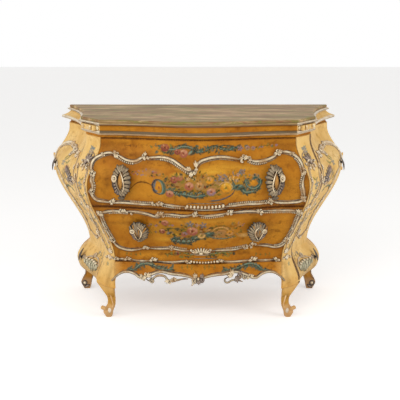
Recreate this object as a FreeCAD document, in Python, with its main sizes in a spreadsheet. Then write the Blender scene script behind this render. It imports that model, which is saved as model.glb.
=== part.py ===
import FreeCAD, Part
import math
import os

import Sketcher
from FreeCAD import Placement, Rotation, Vector

# Chest of drawers, bombe commode: two drawers in front, a cupboard door on each swelling side
# +X right, -Y front, +Z up; the origin is on the floor under the middle of the whole

doc = FreeCAD.newDocument("chest_of_drawers")
sheet = doc.addObject("Spreadsheet::Sheet", "Sizes")

SIZES = [
    # overall levels
    ("overall_high", 900, "floor to the top of the board"),
    ("board_thick", 12, "top board"),
    ("edge_thick", 14, "moulded edge under the board"),
    ("frieze_high", 21, "concave frieze"),
    ("necking_high", 20, "moulding at the neck"),
    ("neck_board_high", 10, "board that the posts stand under"),
    ("split_level", 527, "seam between the drawers"),
    ("drawer_foot", 254, "seam under the lower drawer"),
    ("leg_level", 135, "seam of the front posts and their legs, and foot of the doors"),
    ("apron_foot", 162, "lowest point of the apron board"),
    # plan at the neck, depths measured forward from the back plane
    ("neck_depth", 540, "middle of the front"),
    ("edge_in", 188, "front edge of the corner post, in from the side at the back"),
    ("edge_depth", 480, "front edge of the corner post"),
    ("cant_half", 73, "canted face of the post, across, to the joint with the door"),
    ("cant_depth", 95, "canted face of the post, front to back, to that joint"),
    ("side_half", 605, "side at the back, from the middle"),
    ("post_crown", 8, "swell of the canted face"),
    # levels of the swelling
    ("neck_level", 805, "swelling starts"),
    ("bulge_level", 640, "widest"),
    ("edge_bulge_level", 620, "widest along the front edge of the post"),
    ("waist_level", 255, "narrowest, front and sides"),
    ("corner_waist_level", 270, "narrowest along the corner"),
    ("knee_level", 150, "knee of the corner"),
    ("low_bulge_level", 172, "small bulge of the side under the waist"),
    ("apron_flare_level", 165, "apron stands furthest out"),
    # amounts of the swelling
    ("side_swell", 75, "side, at the bulge"),
    ("side_waist", 82, "side, drawn in at the waist"),
    ("side_low", 20, "side, drawn in at its lower bulge"),
    ("corner_swell", 49, "corner, at the bulge"),
    ("corner_waist", 65, "corner, drawn in at the waist"),
    ("corner_knee", 28, "corner, drawn in at the knee"),
    ("edge_swell", 58, "post edge, at the bulge"),
    ("edge_waist", 46, "post edge, drawn in at the waist"),
    ("edge_foot", 50, "post edge, drawn in at its foot"),
    ("front_swell", 75, "front, at the bulge"),
    ("front_waist", 82, "front, drawn in at the waist"),
    ("front_low", 30, "front, drawn in where the apron flares"),
    # overhangs of the top, past the neck
    ("board_over_front", 22, "board, in front"),
    ("board_over_corner", 18, "board, at the corners"),
    ("board_over_side", 2, "board, at the sides"),
    ("edge_proud", 12, "moulded edge past the board"),
    ("necking_over_front", 32, "neck moulding, in front"),
    ("necking_over_corner", 20, "neck moulding, at the corners"),
    ("necking_over_side", 42, "neck moulding, at the sides"),
    ("frieze_in", 8, "frieze behind the neck moulding"),
    ("frieze_top_in", 8, "top of the frieze behind the board, in front"),
    ("edge_setback", 6, "moulded edge behind the board, in front"),
    ("board_sweep", 2.6, "hollow sweep of the board's sides in plan, as a power"),
    ("neck_sweep", 1.9, "hollow sweep of the neck's sides in plan, as a power"),
    ("door_sweep", 2.6, "hollow sweep of the doors at the neck, as a power"),
    ("frame_wide", 95, "width of the frames round the hollow of the top"),
    # walls
    ("front_thick", 26, "drawer fronts"),
    ("apron_thick", 24, "apron board"),
    ("post_deep", 60, "front posts, front to back"),
    ("door_thick", 24, "doors"),
    ("rear_post_deep", 40, "rear posts, front to back"),
    ("rear_post_wide", 45, "rear posts, across"),
    ("back_thick", 12, "back panel"),
    ("back_foot", 180, "lower edge of the back panel"),
    ("carcass_thick", 18, "bottom board and partitions"),
    ("partition_in", 51, "inner face of a partition, in from the front edge of the post"),
    ("partition_setback", 86, "front edge of a partition behind the front"),
    ("rail_high", 20, "rail between the drawers"),
    ("rail_back", 90, "back of that rail, behind the front edge of the post"),
    ("dust_thick", 12, "dust board"),
    ("runner_thick", 6, "drawer runners"),
    ("runner_wide", 30, "drawer runners"),
    ("shelf_level", 524, "underside of the cupboard shelves"),
    ("shelf_thick", 16, "cupboard shelves"),
    ("shelf_back", 85, "front edge of the cupboard shelves, behind the joint of the door"),
    ("back_rail_high", 44, "rail under the bottom board"),
    ("back_rail_thick", 22, "rail under the bottom board"),
    # drawers
    ("box_wall", 12, "drawer sides and backs"),
    ("box_floor", 6, "drawer bottoms"),
    ("box_floor_up", 10, "drawer bottoms above the edge of the sides"),
    ("box_back_depth", 42, "back of the drawer boxes"),
    ("upper_box_top", 780, "top edge of the upper box"),
    ("lower_box_top", 470, "top edge of the lower box"),
    ("seam", 1.5, "gap round drawer fronts and along the door joint"),
    ("slide_gap", 1.5, "gap between drawer box and partition"),
    ("ride_gap", 0.3, "gap between drawer box and runner"),
    ("board_gap", 3, "gap between the doors and what is inside them"),
    ("fit_gap", 0.3, "glue line between curved faces of one body"),
    ("lock_gap", 1.2, "packing between a lock and its door"),
    # carved frames
    ("carving_proud", 9, "carved frames, in front of the wood"),
    ("carving_wide", 15, "carved frames"),
    # shell pulls
    ("pull_in", 95, "middle of a pull on the upper drawer, in from the post"),
    ("pull_level", 646, "middle of a pull on the upper drawer"),
    ("low_pull_in", 161, "middle of a pull on the lower drawer, in from the post"),
    ("low_pull_level", 413, "middle of a pull on the lower drawer"),
    ("pull_wide", 98, "shell"),
    ("pull_tall", 138, "shell"),
    ("pull_stand", 17, "shell stands off the wood"),
    ("pull_dome", 19, "height of the shell's dome"),
    ("pull_boss_radius", 13, "boss under the shell"),
    ("bolt_radius", 3, "bolt of a pull"),
    ("bolt_nut_radius", 7, "nut of a pull"),
    # side pulls
    ("side_pull_depth", 170, "middle of a side pull"),
    ("side_pull_level", 648, "upper side pull"),
    ("side_pull_low_level", 190, "lower side pull"),
    ("side_pull_tall", 66, "leaf plate"),
    ("side_pull_wide", 40, "leaf plate"),
    ("side_pull_thick", 6, "leaf plate"),
    ("side_pull_stem", 30, "leaf plate stands off the door"),
    ("side_pull_stem_radius", 7, "stem"),
    # hinges
    ("hinge_gap", 4, "between door and rear post"),
    ("hinge_out", 3.6, "pin outside the widest point of the door"),
    ("hinge_long", 44, "knuckles of one hinge"),
    ("hinge_low_level", 590, "lower hinge"),
    ("hinge_high_level", 680, "upper hinge"),
    ("knuckle_radius", 3.1, "hinge knuckle"),
    ("pin_radius", 1.5, "hinge pin"),
    ("pin_gap", 0.3, "clearance round the pin"),
    ("leaf_thick", 1.6, "hinge leaf"),
    ("leaf_wide", 46, "hinge leaf"),
    # front legs
    ("ankle_level", 65, "thinnest point of the leg"),
    ("ankle_radius", 18, "thinnest point of the leg"),
    ("ankle_in", 13, "ankle, in from the middle of the foot"),
    ("foot_radius", 22, "foot"),
    ("toe_radius", 13.5, "what stands on the floor"),
    ("foot_in", 14, "middle of a front foot, in from the front edge of the post"),
    ("foot_back", 47, "middle of a front foot, behind the front edge of the post"),
    ("scroll_radius", 9, "volute of the foot"),
    ("scroll_level", 42, "volute of the foot"),
    ("knee_cut", 13, "apron's curve runs on into the foot of the post, across"),
    ("knee_cut_high", 50, "apron's curve runs on into the foot of the post, upward"),
    ("rear_ankle_wide", 40, "thinnest point of the rear leg"),
    ("rear_foot_wide", 50, "volute of the rear leg"),
    ("rear_toe_wide", 27, "what stands on the floor"),
]
for row, (alias, value, note) in enumerate(SIZES, start=1):
    sheet.set("A%d" % row, note)
    sheet.set("B%d" % row, str(value))
    sheet.setAlias("B%d" % row, alias)
doc.recompute()


class Values:
    """The sheet's numbers by their names."""

    def __getattr__(self, name):
        return float(sheet.get(name))


S = Values()
edge_half = S.side_half - S.edge_in
joint_half = edge_half + S.cant_half
joint_depth = S.edge_depth - S.cant_depth
rail_depth = S.edge_depth - S.rail_back
EDGE_HALF = "(Sizes.side_half - Sizes.edge_in)"
PARTITION_HALF = "(Sizes.side_half - Sizes.edge_in - Sizes.partition_in)"
RAIL_DEPTH = "(Sizes.edge_depth - Sizes.rail_back)"
SHELF_DEPTH = "(Sizes.edge_depth - Sizes.cant_depth - Sizes.shelf_back)"
DRAWN_HALF = 417  # half width that the outlines of ornament are drawn for
BACK = "((Sizes.neck_depth + Sizes.front_swell) / 2)"
back_y = (S.neck_depth + S.front_swell) / 2
body_top = (S.overall_high - S.board_thick - S.edge_thick - S.frieze_high - S.necking_high
            - S.neck_board_high)
BODY_TOP = ("(Sizes.overall_high - Sizes.board_thick - Sizes.edge_thick - Sizes.frieze_high"
            " - Sizes.necking_high - Sizes.neck_board_high)")
bottom_top = S.drawer_foot - S.seam
BOTTOM_TOP = "(Sizes.drawer_foot - Sizes.seam)"
FAR = 2000


# The swelling: how far each line of the body stands out of its place at the neck, by level

def ease(a, b, t):
    t = min(1.0, max(0.0, t))
    return a + (b - a) * t * t * (3 - 2 * t)


def along(z, stations):
    if z >= stations[0][0]:
        return stations[0][1]
    for (high, a), (low, b) in zip(stations, stations[1:]):
        if z >= low:
            return ease(a, b, (high - z) / (high - low))
    return stations[-1][1]


def edge_out(z):
    return along(z, [(S.neck_level, 0), (S.edge_bulge_level, S.edge_swell),
                     (S.waist_level, -S.edge_waist), (S.leg_level, -S.edge_foot)])


def corner_out(z):
    return along(z, [(S.neck_level, 0), (S.bulge_level, S.corner_swell),
                     (S.corner_waist_level, -S.corner_waist), (S.knee_level, -S.corner_knee)])


def side_out(z):
    if z >= S.waist_level:
        return along(z, [(S.neck_level, 0), (S.bulge_level, S.side_swell),
                         (S.waist_level, -S.side_waist)])
    if z >= S.low_bulge_level:
        t = (S.waist_level - z) / (S.waist_level - S.low_bulge_level)
        return -S.side_waist + (S.side_waist - S.side_low) * math.sin(math.pi / 2 * t)
    return along(z, [(S.low_bulge_level, -S.side_low), (S.ankle_level, -S.side_low - 38)])


def front_out(z):
    if z >= S.waist_level:
        return along(z, [(S.neck_level, 0), (S.bulge_level, S.front_swell),
                         (S.waist_level, -S.front_waist)])
    t = min(1.0, (S.waist_level - z) / (S.waist_level - S.apron_flare_level))
    return -S.front_waist + (S.front_waist - S.front_low) * math.sin(math.pi / 2 * t)


def edge_point(z):
    return edge_half + edge_out(z), back_y - S.edge_depth - corner_out(z)


def joint_point(z):
    return joint_half + corner_out(z), back_y - joint_depth - corner_out(z)


def front_y(x, z):
    """The serpentine front: level in the middle and at the post, steepest between."""
    edge_x, edge_y = edge_point(z)
    middle_y = back_y - S.neck_depth - front_out(z)
    share = math.cos(math.pi / 2 * min(1.0, abs(x) / edge_x)) ** 2
    return edge_y + (middle_y - edge_y) * share


def side_x(y, z):
    """The side in plan: an S from joint to rear post, at the neck a hollow sweep instead."""
    joint_x, joint_y = joint_point(z)
    rear_y = back_y - S.rear_post_deep - S.hinge_gap
    t = min(1.0, max(0.0, (y - joint_y) / (rear_y - joint_y)))
    neck = ease(0, 1, (z - S.bulge_level) / (S.neck_level - S.bulge_level))
    share = ease(0, 1, t) * (1 - neck) + t ** S.door_sweep * neck
    return joint_x + (S.side_half + side_out(z) - joint_x) * share


def post_point(share, z):
    ax, ay = edge_point(z)
    bx, by = joint_point(z)
    long = math.hypot(bx - ax, by - ay)
    crown = S.post_crown * 4 * share * (1 - share)
    return (ax + (bx - ax) * share + (by - ay) / long * crown,
            ay + (by - ay) * share - (bx - ax) / long * crown)


# Faces through rows of points, and the solids made of them

def levels(low, high, count):
    return [low + (high - low) * i / (count - 1) for i in range(count)]


def spline_poles(points):
    """Poles of the smooth curve through points spaced evenly in parameter, and its knots."""
    curve = Part.BSplineCurve()
    last = len(points) - 1
    curve.interpolate(Points=points, Parameters=[i / last for i in range(last + 1)])
    return curve.getPoles(), curve.getKnots(), curve.getMultiplicities()


def through(rows):
    """A smooth face through a grid; faces that share a row of points share that edge."""
    across = [spline_poles(row) for row in rows]
    columns = [spline_poles([row[0][i] for row in across]) for i in range(len(across[0][0]))]
    poles = [[column[0][j] for j in range(len(columns[0][0]))] for column in columns]
    surface = Part.BSplineSurface()
    surface.buildFromPolesMultsKnots(poles, across[0][2], columns[0][2], across[0][1],
                                     columns[0][1], False, False, 3, 3)
    return surface.toShape()


def solid(shape):
    if shape.Volume < 0:
        shape.reverse()
    return shape


def main_part(shape):
    """The largest solid of a cut shape, without the slips left beside it."""
    return max(shape.Solids, key=lambda piece: piece.Volume)


def front_skin(low, high, less=0.0, back=0.0, rows=11, columns=17):
    """The front between two levels; less draws its ends in, back moves it rearward."""
    grid = []
    for z in levels(low, high, rows):
        end = edge_point(z)[0] - less
        grid.append([Vector(x, front_y(x, z) + back, z) for x in levels(-end, end, columns)])
    return through(grid)


def behind_front(low, high, back, over=30):
    return solid(front_skin(low, high, -over, back).extrude(Vector(0, FAR, 0)))


def side_skin(low, high, inward=0.0, rows=11, columns=11):
    rear_y = back_y - S.rear_post_deep - S.hinge_gap
    grid = []
    for z in levels(low, high, rows):
        start = joint_point(z)[1] - 25
        grid.append([Vector(side_x(y, z) - inward, y, z) for y in levels(start, rear_y, columns)])
    return through(grid)


def inside_side(low, high, inward):
    return solid(side_skin(low, high, inward).extrude(Vector(-FAR / 2, 0, 0)))


def outside_side(low, high, inward):
    return solid(side_skin(low, high, inward).extrude(Vector(FAR / 2, 0, 0)))


def beyond_joint(gap):
    """Everything on the door's side of the plane between post and door."""
    block = Part.makeBox(FAR, FAR, FAR)
    x, y = joint_point(S.neck_level)
    out = gap / math.sqrt(2)
    block.Placement = Placement(Vector(x + out, y + out, 0), Rotation(Vector(0, 0, 1), 45)).multiply(
        Placement(Vector(0, -FAR / 2, -FAR / 2), Rotation()))
    return block


def mirrored(shape):
    return shape.mirror(Vector(0, 0, 0), Vector(1, 0, 0))


# Document objects

nodes = []


def feature(label, shape, keep=True):
    made = doc.addObject("Part::Feature", label)
    made.Label = label
    made.Shape = shape
    made.Placement = shape.Placement
    if keep:
        nodes.append(made)
    return made


def pair(label, shape):
    """The right piece and its mirror on the left."""
    return feature(label + "_right", shape), feature(label + "_left", mirrored(shape))


def board(label, x, y, z, wide, deep, high, keep=True):
    """A rectangular board: its corner, then its three sizes, each an expression."""
    body = doc.addObject("PartDesign::Body", label)
    body.Label = label
    sketch = body.newObject("Sketcher::SketchObject", label + "_plan")
    plane = [o for o in body.Origin.OriginFeatures if o.Role == "XY_Plane"][0]
    sketch.AttachmentSupport = [(plane, "")]
    sketch.MapMode = "FlatFace"
    corners = [Vector(0, 0, 0), Vector(10, 0, 0), Vector(10, 10, 0), Vector(0, 10, 0)]
    for i in range(4):
        sketch.addGeometry(Part.LineSegment(corners[i], corners[(i + 1) % 4]), False)
    for i in range(4):
        sketch.addConstraint(Sketcher.Constraint("Coincident", i, 2, (i + 1) % 4, 1))
    for i in (0, 2):
        sketch.addConstraint(Sketcher.Constraint("Horizontal", i))
    for i in (1, 3):
        sketch.addConstraint(Sketcher.Constraint("Vertical", i))
    sketch.addConstraint(Sketcher.Constraint("Coincident", 0, 1, -1, 1))
    across = sketch.addConstraint(Sketcher.Constraint("DistanceX", 0, 1, 0, 2, 10))
    sketch.setExpression("Constraints[%d]" % across, wide)
    along_y = sketch.addConstraint(Sketcher.Constraint("DistanceY", 1, 1, 1, 2, 10))
    sketch.setExpression("Constraints[%d]" % along_y, deep)
    pad = body.newObject("PartDesign::Pad", label + "_pad")
    pad.Profile = sketch
    pad.setExpression("Length", high)
    body.setExpression("Placement.Base.x", x)
    body.setExpression("Placement.Base.y", y)
    body.setExpression("Placement.Base.z", z)
    if keep:
        nodes.append(body)
    return body


def joined(kind, label, base, tool):
    made = doc.addObject("Part::" + kind, label)
    made.Label = label
    made.Base = base
    made.Tool = tool
    nodes.append(made)
    return made


# The top: outlines of the same plan at growing overhangs, lofted from level to level

def outline(z, front, corner, side, sweep):
    """Closed plan of the whole at one level of the top; its sides are hollow sweeps."""
    edge = Vector(edge_half + corner * 0.2, back_y - S.edge_depth - corner, z)
    joint = Vector(joint_half + corner, back_y - joint_depth - corner * 0.3, z)
    middle_y = back_y - S.neck_depth - front
    rear = Vector(S.side_half + side, back_y, z)

    def left(v):
        return Vector(-v.x, v.y, v.z)

    front_points = []
    for x in levels(-edge.x, edge.x, 13):
        share = math.cos(math.pi / 2 * min(1.0, abs(x) / edge.x)) ** 2
        front_points.append(Vector(x, edge.y + (middle_y - edge.y) * share, z))
    side_points = []
    for y in levels(joint.y, rear.y, 9):
        share = ((y - joint.y) / (rear.y - joint.y)) ** sweep
        side_points.append(Vector(joint.x + (rear.x - joint.x) * share, y, z))

    def curve(points):
        spline = Part.BSplineCurve()
        spline.interpolate(points)
        return spline.toShape()

    return Part.Wire([
        curve(front_points),
        Part.makeLine(edge, joint),
        curve(side_points),
        Part.makeLine(rear, left(rear)),
        curve([left(p) for p in reversed(side_points)]),
        Part.makeLine(left(joint), left(edge)),
    ])


def stack(sections):
    return solid(Part.makeLoft([outline(*s) for s in sections], True, True))


def hollow(low, high, wide):
    """The empty middle of a frame of the top."""
    half = edge_half - wide / 2
    deep = S.edge_depth - wide
    return Part.makeBox(2 * half, deep, high - low,
                        Vector(-half, back_y - S.edge_depth + wide / 2, low))


over_front, over_corner, over_side = S.board_over_front, S.board_over_corner, S.board_over_side
board_z = S.overall_high - S.board_thick
edge_z = board_z - S.edge_thick
frieze_z = edge_z - S.frieze_high
necking_z = frieze_z - S.necking_high


def board_section(z, more):
    return z, over_front + more, over_corner + more, over_side + more, S.board_sweep


def edge_section(z, more):
    return z, over_front - S.edge_setback, over_corner + more, over_side + more, S.board_sweep


def neck_section(z, more):
    return (z, S.necking_over_front + more, S.necking_over_corner + more,
            S.necking_over_side + more, S.neck_sweep)


feature("top_board", stack([board_section(board_z, -1), board_section(board_z + 2, 1),
                            board_section(S.overall_high - 3, 1),
                            board_section(S.overall_high, -3)]))
edge = stack([edge_section(edge_z, -2), edge_section(edge_z + 3, S.edge_proud * 0.7),
              edge_section(edge_z + 7, S.edge_proud), edge_section(board_z - 3, S.edge_proud * 0.7),
              edge_section(board_z, -1)])
feature("top_edge_moulding", edge.cut(hollow(edge_z, board_z, S.frame_wide)))

frieze_sections = []
for share, reach in ((0.0, 0.0), (0.25, -0.42), (0.5, -0.68), (0.75, -0.86), (1.0, -1.0)):
    z = frieze_z + S.frieze_high * share
    low = neck_section(z, -S.frieze_in)
    high = (z, over_front - S.frieze_top_in, over_corner - 4, over_side - 4, S.board_sweep)
    frieze_sections.append((z,) + tuple(a + (b - a) * -reach for a, b in zip(low[1:], high[1:])))
frieze = stack(frieze_sections)
feature("frieze", frieze.cut(hollow(frieze_z, edge_z, S.frame_wide)))
necking = stack([(necking_z, 3, 3, 3, S.neck_sweep), neck_section(necking_z + 6, -6), neck_section(necking_z + 11, 0),
                 neck_section(frieze_z - 4, 0), neck_section(frieze_z, -4)])
feature("necking_moulding", necking.cut(hollow(necking_z, frieze_z, S.frame_wide)))
feature("neck_board", stack([(body_top, -1, -1, -1, S.neck_sweep),
                           (necking_z, -1, -1, -1, S.neck_sweep)]))


# Reeded corbels under the corners of the board

def corbel():
    low = Vector(edge_half + S.frieze_in, back_y - S.edge_depth - S.necking_over_corner + S.frieze_in)
    across = math.hypot(S.cant_half, S.cant_depth) - 2 * S.frieze_in
    high = S.frieze_high
    deep = S.necking_over_corner + 8
    profile = [Vector(0, 0, 0), Vector(0, deep * 0.95, 0), Vector(0, deep, high * 0.25),
               Vector(0, deep * 0.78, high * 0.6), Vector(0, deep * 0.9, high), Vector(0, 0, high)]
    block = Part.Face(Part.makePolygon(profile + profile[:1])).extrude(Vector(across, 0, 0))
    reeds = []
    count = 6
    for i in range(count):
        x = across * (i + 0.5) / count
        reeds.append(Part.makeCylinder(across / count * 0.46, high, Vector(x, deep * 0.82, 0)))
    block = block.multiFuse(reeds).removeSplitter()
    turn = math.degrees(math.atan2(S.edge_depth - joint_depth, joint_half - edge_half))
    flip = Placement(Vector(0, 0, 0), Rotation(Vector(0, 0, 1), 180))
    block.Placement = Placement(Vector(0, 0, 0), Rotation(Vector(0, 0, 1), turn)).multiply(flip)
    middle = Vector((edge_half + joint_half) / 2, back_y - (S.edge_depth + joint_depth) / 2, 0)
    facing = Rotation(Vector(0, 0, 1), turn)
    shift = facing.multVec(Vector(across / 2, -0.0, 0))
    block.Placement = Placement(middle + shift + Vector(0, 0, frieze_z), block.Placement.Rotation)
    return block.cut(frieze)


pair("corner_bracket", corbel())


# Front posts: canted, swelling, cut flat where the door meets them

def post_skin(low, high, start=0.0, end=1.15, rows=17):
    return through([[Vector(*post_point(u, z), z) for u in levels(start, end, 8)]
                    for z in levels(low, high, rows)])


def knee_curve():
    """What the curve of the apron's lower edge takes off the foot of a post."""
    x, z = edge_point(S.leg_level)[0], S.leg_level
    start = Vector(x - 8, 0, z + S.knee_cut_high + 14)
    middle = Vector(x + S.knee_cut * 0.55, 0, z + S.knee_cut_high * 0.45)
    end = Vector(x + S.knee_cut, 0, z - 1)
    below, beside = Vector(x - 60, 0, z - 1), Vector(x - 60, 0, start.z)
    spline = Part.BSplineCurve()
    spline.interpolate([start, middle, end])
    wire = Part.Wire([spline.toShape(), Part.makeLine(end, below), Part.makeLine(below, beside),
                      Part.makeLine(beside, start)])
    block = Part.Face(wire).extrude(Vector(0, FAR, 0))
    block.translate(Vector(0, -FAR / 2, 0))
    return solid(block)


def front_post():
    block = solid(post_skin(S.leg_level, body_top).extrude(Vector(0, S.post_deep, 0)))
    return block.cut([beyond_joint(0), knee_curve()])


post = front_post()
post_right, post_left = pair("front_post", post)


# Cabriole front legs with a volute at the toe

def leg_section(x, y, wide, deep, z, post=0.0, count=12):
    """A rounded section; post blends it into the outline of the post above."""
    (ax, ay), (bx, by) = edge_point(S.leg_level), joint_point(S.leg_level)
    turn = math.atan2(by - ay, bx - ax)
    start = (S.knee_cut + 3) / (bx - ax)
    seat = [post_point(start + (0.985 - start) * u, S.leg_level)
            for u in (0.0, 0.16, 0.34, 0.5, 0.66, 0.84, 1.0)]
    inner = S.post_deep * 0.5
    sx, sy = seat[0]
    seat += [(bx - inner * 0.5, by + inner * 0.5), (bx - inner * 1.1, by + inner * 0.5),
             (sx + (bx - sx) * 0.4, sy + (by - sy) * 0.4 + inner * 0.95),
             (sx + (bx - sx) * 0.2, sy + (by - sy) * 0.2 + inner * 1.0),
             (sx + 1.0, sy + inner * 0.8)]
    points = []
    for i in range(count):
        a = math.pi + 2 * math.pi * i / count
        u, w = wide * math.cos(a), deep * math.sin(a)
        px = x + u * math.cos(turn) - w * math.sin(turn)
        py = y + u * math.sin(turn) + w * math.cos(turn)
        points.append(Vector(px + (seat[i][0] - px) * post, py + (seat[i][1] - py) * post, z))
    spline = Part.BSplineCurve()
    spline.interpolate(points, PeriodicFlag=True)
    return Part.Wire([spline.toShape()])


def front_leg():
    (ax, ay), (bx, by) = edge_point(S.leg_level), joint_point(S.leg_level)
    foot_x, foot_y = edge_half - S.foot_in, back_y - S.edge_depth + S.foot_back
    ankle_x, ankle_y = foot_x - S.ankle_in, foot_y + S.ankle_in * 0.6
    r, foot, toe = S.ankle_radius, S.foot_radius, S.toe_radius
    leg_high, ankle = S.leg_level, S.ankle_level
    sections = [
        (ankle_x + 6, ankle_y + 14, r * 1.3, r * 1.3, leg_high, 1.0),
        (ankle_x + 5, ankle_y + 12, r * 1.25, r * 1.25, leg_high * 0.93, 0.78),
        (ankle_x + 2, ankle_y + 7, r * 1.15, r * 1.12, leg_high * 0.79, 0.27),
        (ankle_x, ankle_y + 2, r * 1.03, r * 1.02, ankle * 1.3, 0.0),
        (ankle_x, ankle_y, r, r, ankle * 0.92, 0.0),
        (foot_x - 5, foot_y + 3, foot * 0.97, foot, ankle * 0.62, 0.0),
        (foot_x + 1, foot_y - 1, foot, foot * 1.05, ankle * 0.42, 0.0),
        (foot_x, foot_y, foot * 0.8, foot * 0.85, ankle * 0.15, 0.0),
        (foot_x, foot_y, toe, toe, 0.0, 0.0),
    ]
    leg = solid(Part.makeLoft([leg_section(*s) for s in sections], True, False))
    turn = math.atan2(by - ay, bx - ax)
    out = Vector(math.sin(turn), -math.cos(turn), 0)
    side = Vector(math.cos(turn), math.sin(turn), 0)
    long = foot * 1.3
    centre = Vector(foot_x, foot_y, S.scroll_level) + out * (foot * 0.95) + side * (foot * 0.25)
    scroll = Part.makeCylinder(S.scroll_radius, long, centre - side * (long / 2), side)
    return leg.fuse(scroll)


pair("front_leg", front_leg())


# Rear posts: sawn to the outline of the side, with the legs in one piece

def rear_outer(z):
    if z >= S.leg_level:
        return S.side_half + side_out(z)
    start = S.side_half + side_out(S.leg_level)
    return along(z, [(S.leg_level, start), (S.ankle_level * 1.35, start - 24),
                     (S.ankle_level * 0.45, start - 1), (0, start - 17)])


def rear_inner(z):
    wide = along(z, [(S.leg_level, S.rear_post_wide), (S.ankle_level * 1.35, S.rear_ankle_wide),
                     (S.ankle_level * 0.45, S.rear_foot_wide), (0, S.rear_toe_wide)])
    return rear_outer(z) - wide


def side_curve(reach, bands):
    """Outline of the side in the plane of the back, one smooth curve to each band of levels."""
    edges = []
    for low, high, count in bands:
        spline = Part.BSplineCurve()
        spline.interpolate([Vector(reach(z), 0, z) for z in levels(low, high, count)])
        edges.append(spline.toShape())
    return edges


bands = [(0, S.leg_level, 9), (S.leg_level, S.waist_level, 6), (S.waist_level, body_top, 10)]
upper_bands = [(S.back_foot, S.waist_level, 5), (S.waist_level, body_top, 10)]


def between(left_edges, right_edges, deep, y):
    """A board sawn between two upright outlines."""
    def ends(edges):
        return edges[0].Vertexes[0].Point, edges[-1].Vertexes[-1].Point
    (l0, l1), (r0, r1) = ends(left_edges), ends(right_edges)
    wire = Part.Wire(Part.__sortEdges__(left_edges + right_edges
                                        + [Part.makeLine(l0, r0), Part.makeLine(l1, r1)]))
    block = Part.Face(wire).extrude(Vector(0, deep, 0))
    block.translate(Vector(0, y, 0))
    return solid(block)


pair("rear_post", between(side_curve(rear_inner, bands), side_curve(rear_outer, bands),
                          S.rear_post_deep, back_y - S.rear_post_deep))
back_right = side_curve(lambda z: rear_inner(z) - S.fit_gap, upper_bands)
back_left = side_curve(lambda z: S.fit_gap - rear_inner(z), upper_bands)
feature("back_panel", between(back_left, back_right, S.back_thick, back_y - S.back_thick))

# Carcass boards

post_tool = feature("posts_for_cutting", post.fuse(mirrored(post)), keep=False)

bottom_raw = board("bottom_blank", "-Sizes.side_half", BACK + " - Sizes.neck_depth",
                   BOTTOM_TOP + " - Sizes.carcass_thick", "2 * Sizes.side_half",
                   "Sizes.neck_depth - Sizes.back_thick", "Sizes.carcass_thick", keep=False)
bottom_z = bottom_top - S.carcass_thick
beside = outside_side(bottom_z - 5, bottom_top + 0.5, S.door_thick + S.board_gap)
bottom_room = behind_front(bottom_z - 5, bottom_top + 0.5, S.apron_thick + S.fit_gap, over=200)
corner_x, corner_y = edge_point(bottom_z)
corner = Part.makeBox(FAR, FAR, FAR, Vector(corner_x + 1, corner_y + S.post_deep - 1 - FAR, 0))
rear_deep = S.rear_post_deep + S.hinge_gap + 1
rear_corner = Part.makeBox(FAR, rear_deep, FAR,
                           Vector(S.side_half - S.side_waist - S.rear_post_wide - 8, back_y - rear_deep, 0))
tools = (corner, rear_corner, beside, post)
bottom_room = main_part(bottom_room.cut([*tools, *(mirrored(tool) for tool in tools)]))
room = feature("bottom_room", bottom_room, keep=False)
joined("Common", "bottom_board", bottom_raw, room)

board("back_rail", "-(Sizes.side_half - Sizes.side_waist - Sizes.rear_post_wide - 12)",
      BACK + " - Sizes.back_thick - Sizes.back_rail_thick",
      BOTTOM_TOP + " - Sizes.carcass_thick - Sizes.back_rail_high",
      "2 * (Sizes.side_half - Sizes.side_waist - Sizes.rear_post_wide - 12)",
      "Sizes.back_rail_thick", "Sizes.back_rail_high")

rail_z = S.split_level - S.rail_high / 2
rail_deep = S.neck_depth + S.front_swell - rail_depth
rail_raw = board("rail_blank", "-(" + EDGE_HALF + " + Sizes.edge_swell)",
                 BACK + " - Sizes.neck_depth - Sizes.front_swell",
                 "Sizes.split_level - Sizes.rail_high / 2",
                 "2 * (" + EDGE_HALF + " + Sizes.edge_swell)",
                 "Sizes.neck_depth + Sizes.front_swell - " + RAIL_DEPTH,
                 "Sizes.rail_high", keep=False)
rail_room = behind_front(rail_z - 5, rail_z + S.rail_high + 5, S.front_thick + S.seam)
rail_room = rail_room.cut(post).cut(mirrored(post))
beyond_right = beyond_joint(0)
rail_room = rail_room.cut(beyond_right).cut(mirrored(beyond_right))
joined("Common", "drawer_rail", rail_raw, feature("rail_room", rail_room, keep=False))

board("dust_board", "-" + PARTITION_HALF, BACK + " - " + RAIL_DEPTH,
      "Sizes.split_level + Sizes.rail_high / 2 - Sizes.runner_thick - Sizes.dust_thick",
      "2 * " + PARTITION_HALF, RAIL_DEPTH + " - Sizes.back_thick", "Sizes.dust_thick")

partition_blank = board("partition_blank", PARTITION_HALF, BACK + " - Sizes.neck_depth",
                        BOTTOM_TOP, "Sizes.carcass_thick",
                        "Sizes.neck_depth - Sizes.back_thick", BODY_TOP + " - " + BOTTOM_TOP,
                        keep=False)
doc.recompute()
partition_room = behind_front(bottom_top - 0.5, body_top + 0.5, S.partition_setback)
partition_room = partition_room.cut(Part.makeBox(
    FAR, S.neck_depth, S.rail_high,
    Vector(-FAR / 2, back_y - rail_depth - S.neck_depth, rail_z)))
partition = joined("Common", "partition_right", partition_blank,
                   feature("partition_room", partition_room, keep=False))
mirror = doc.addObject("Part::Mirroring", "partition_left")
mirror.Label = "partition_left"
mirror.Source = partition
mirror.Normal = Vector(1, 0, 0)
nodes.append(mirror)


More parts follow.
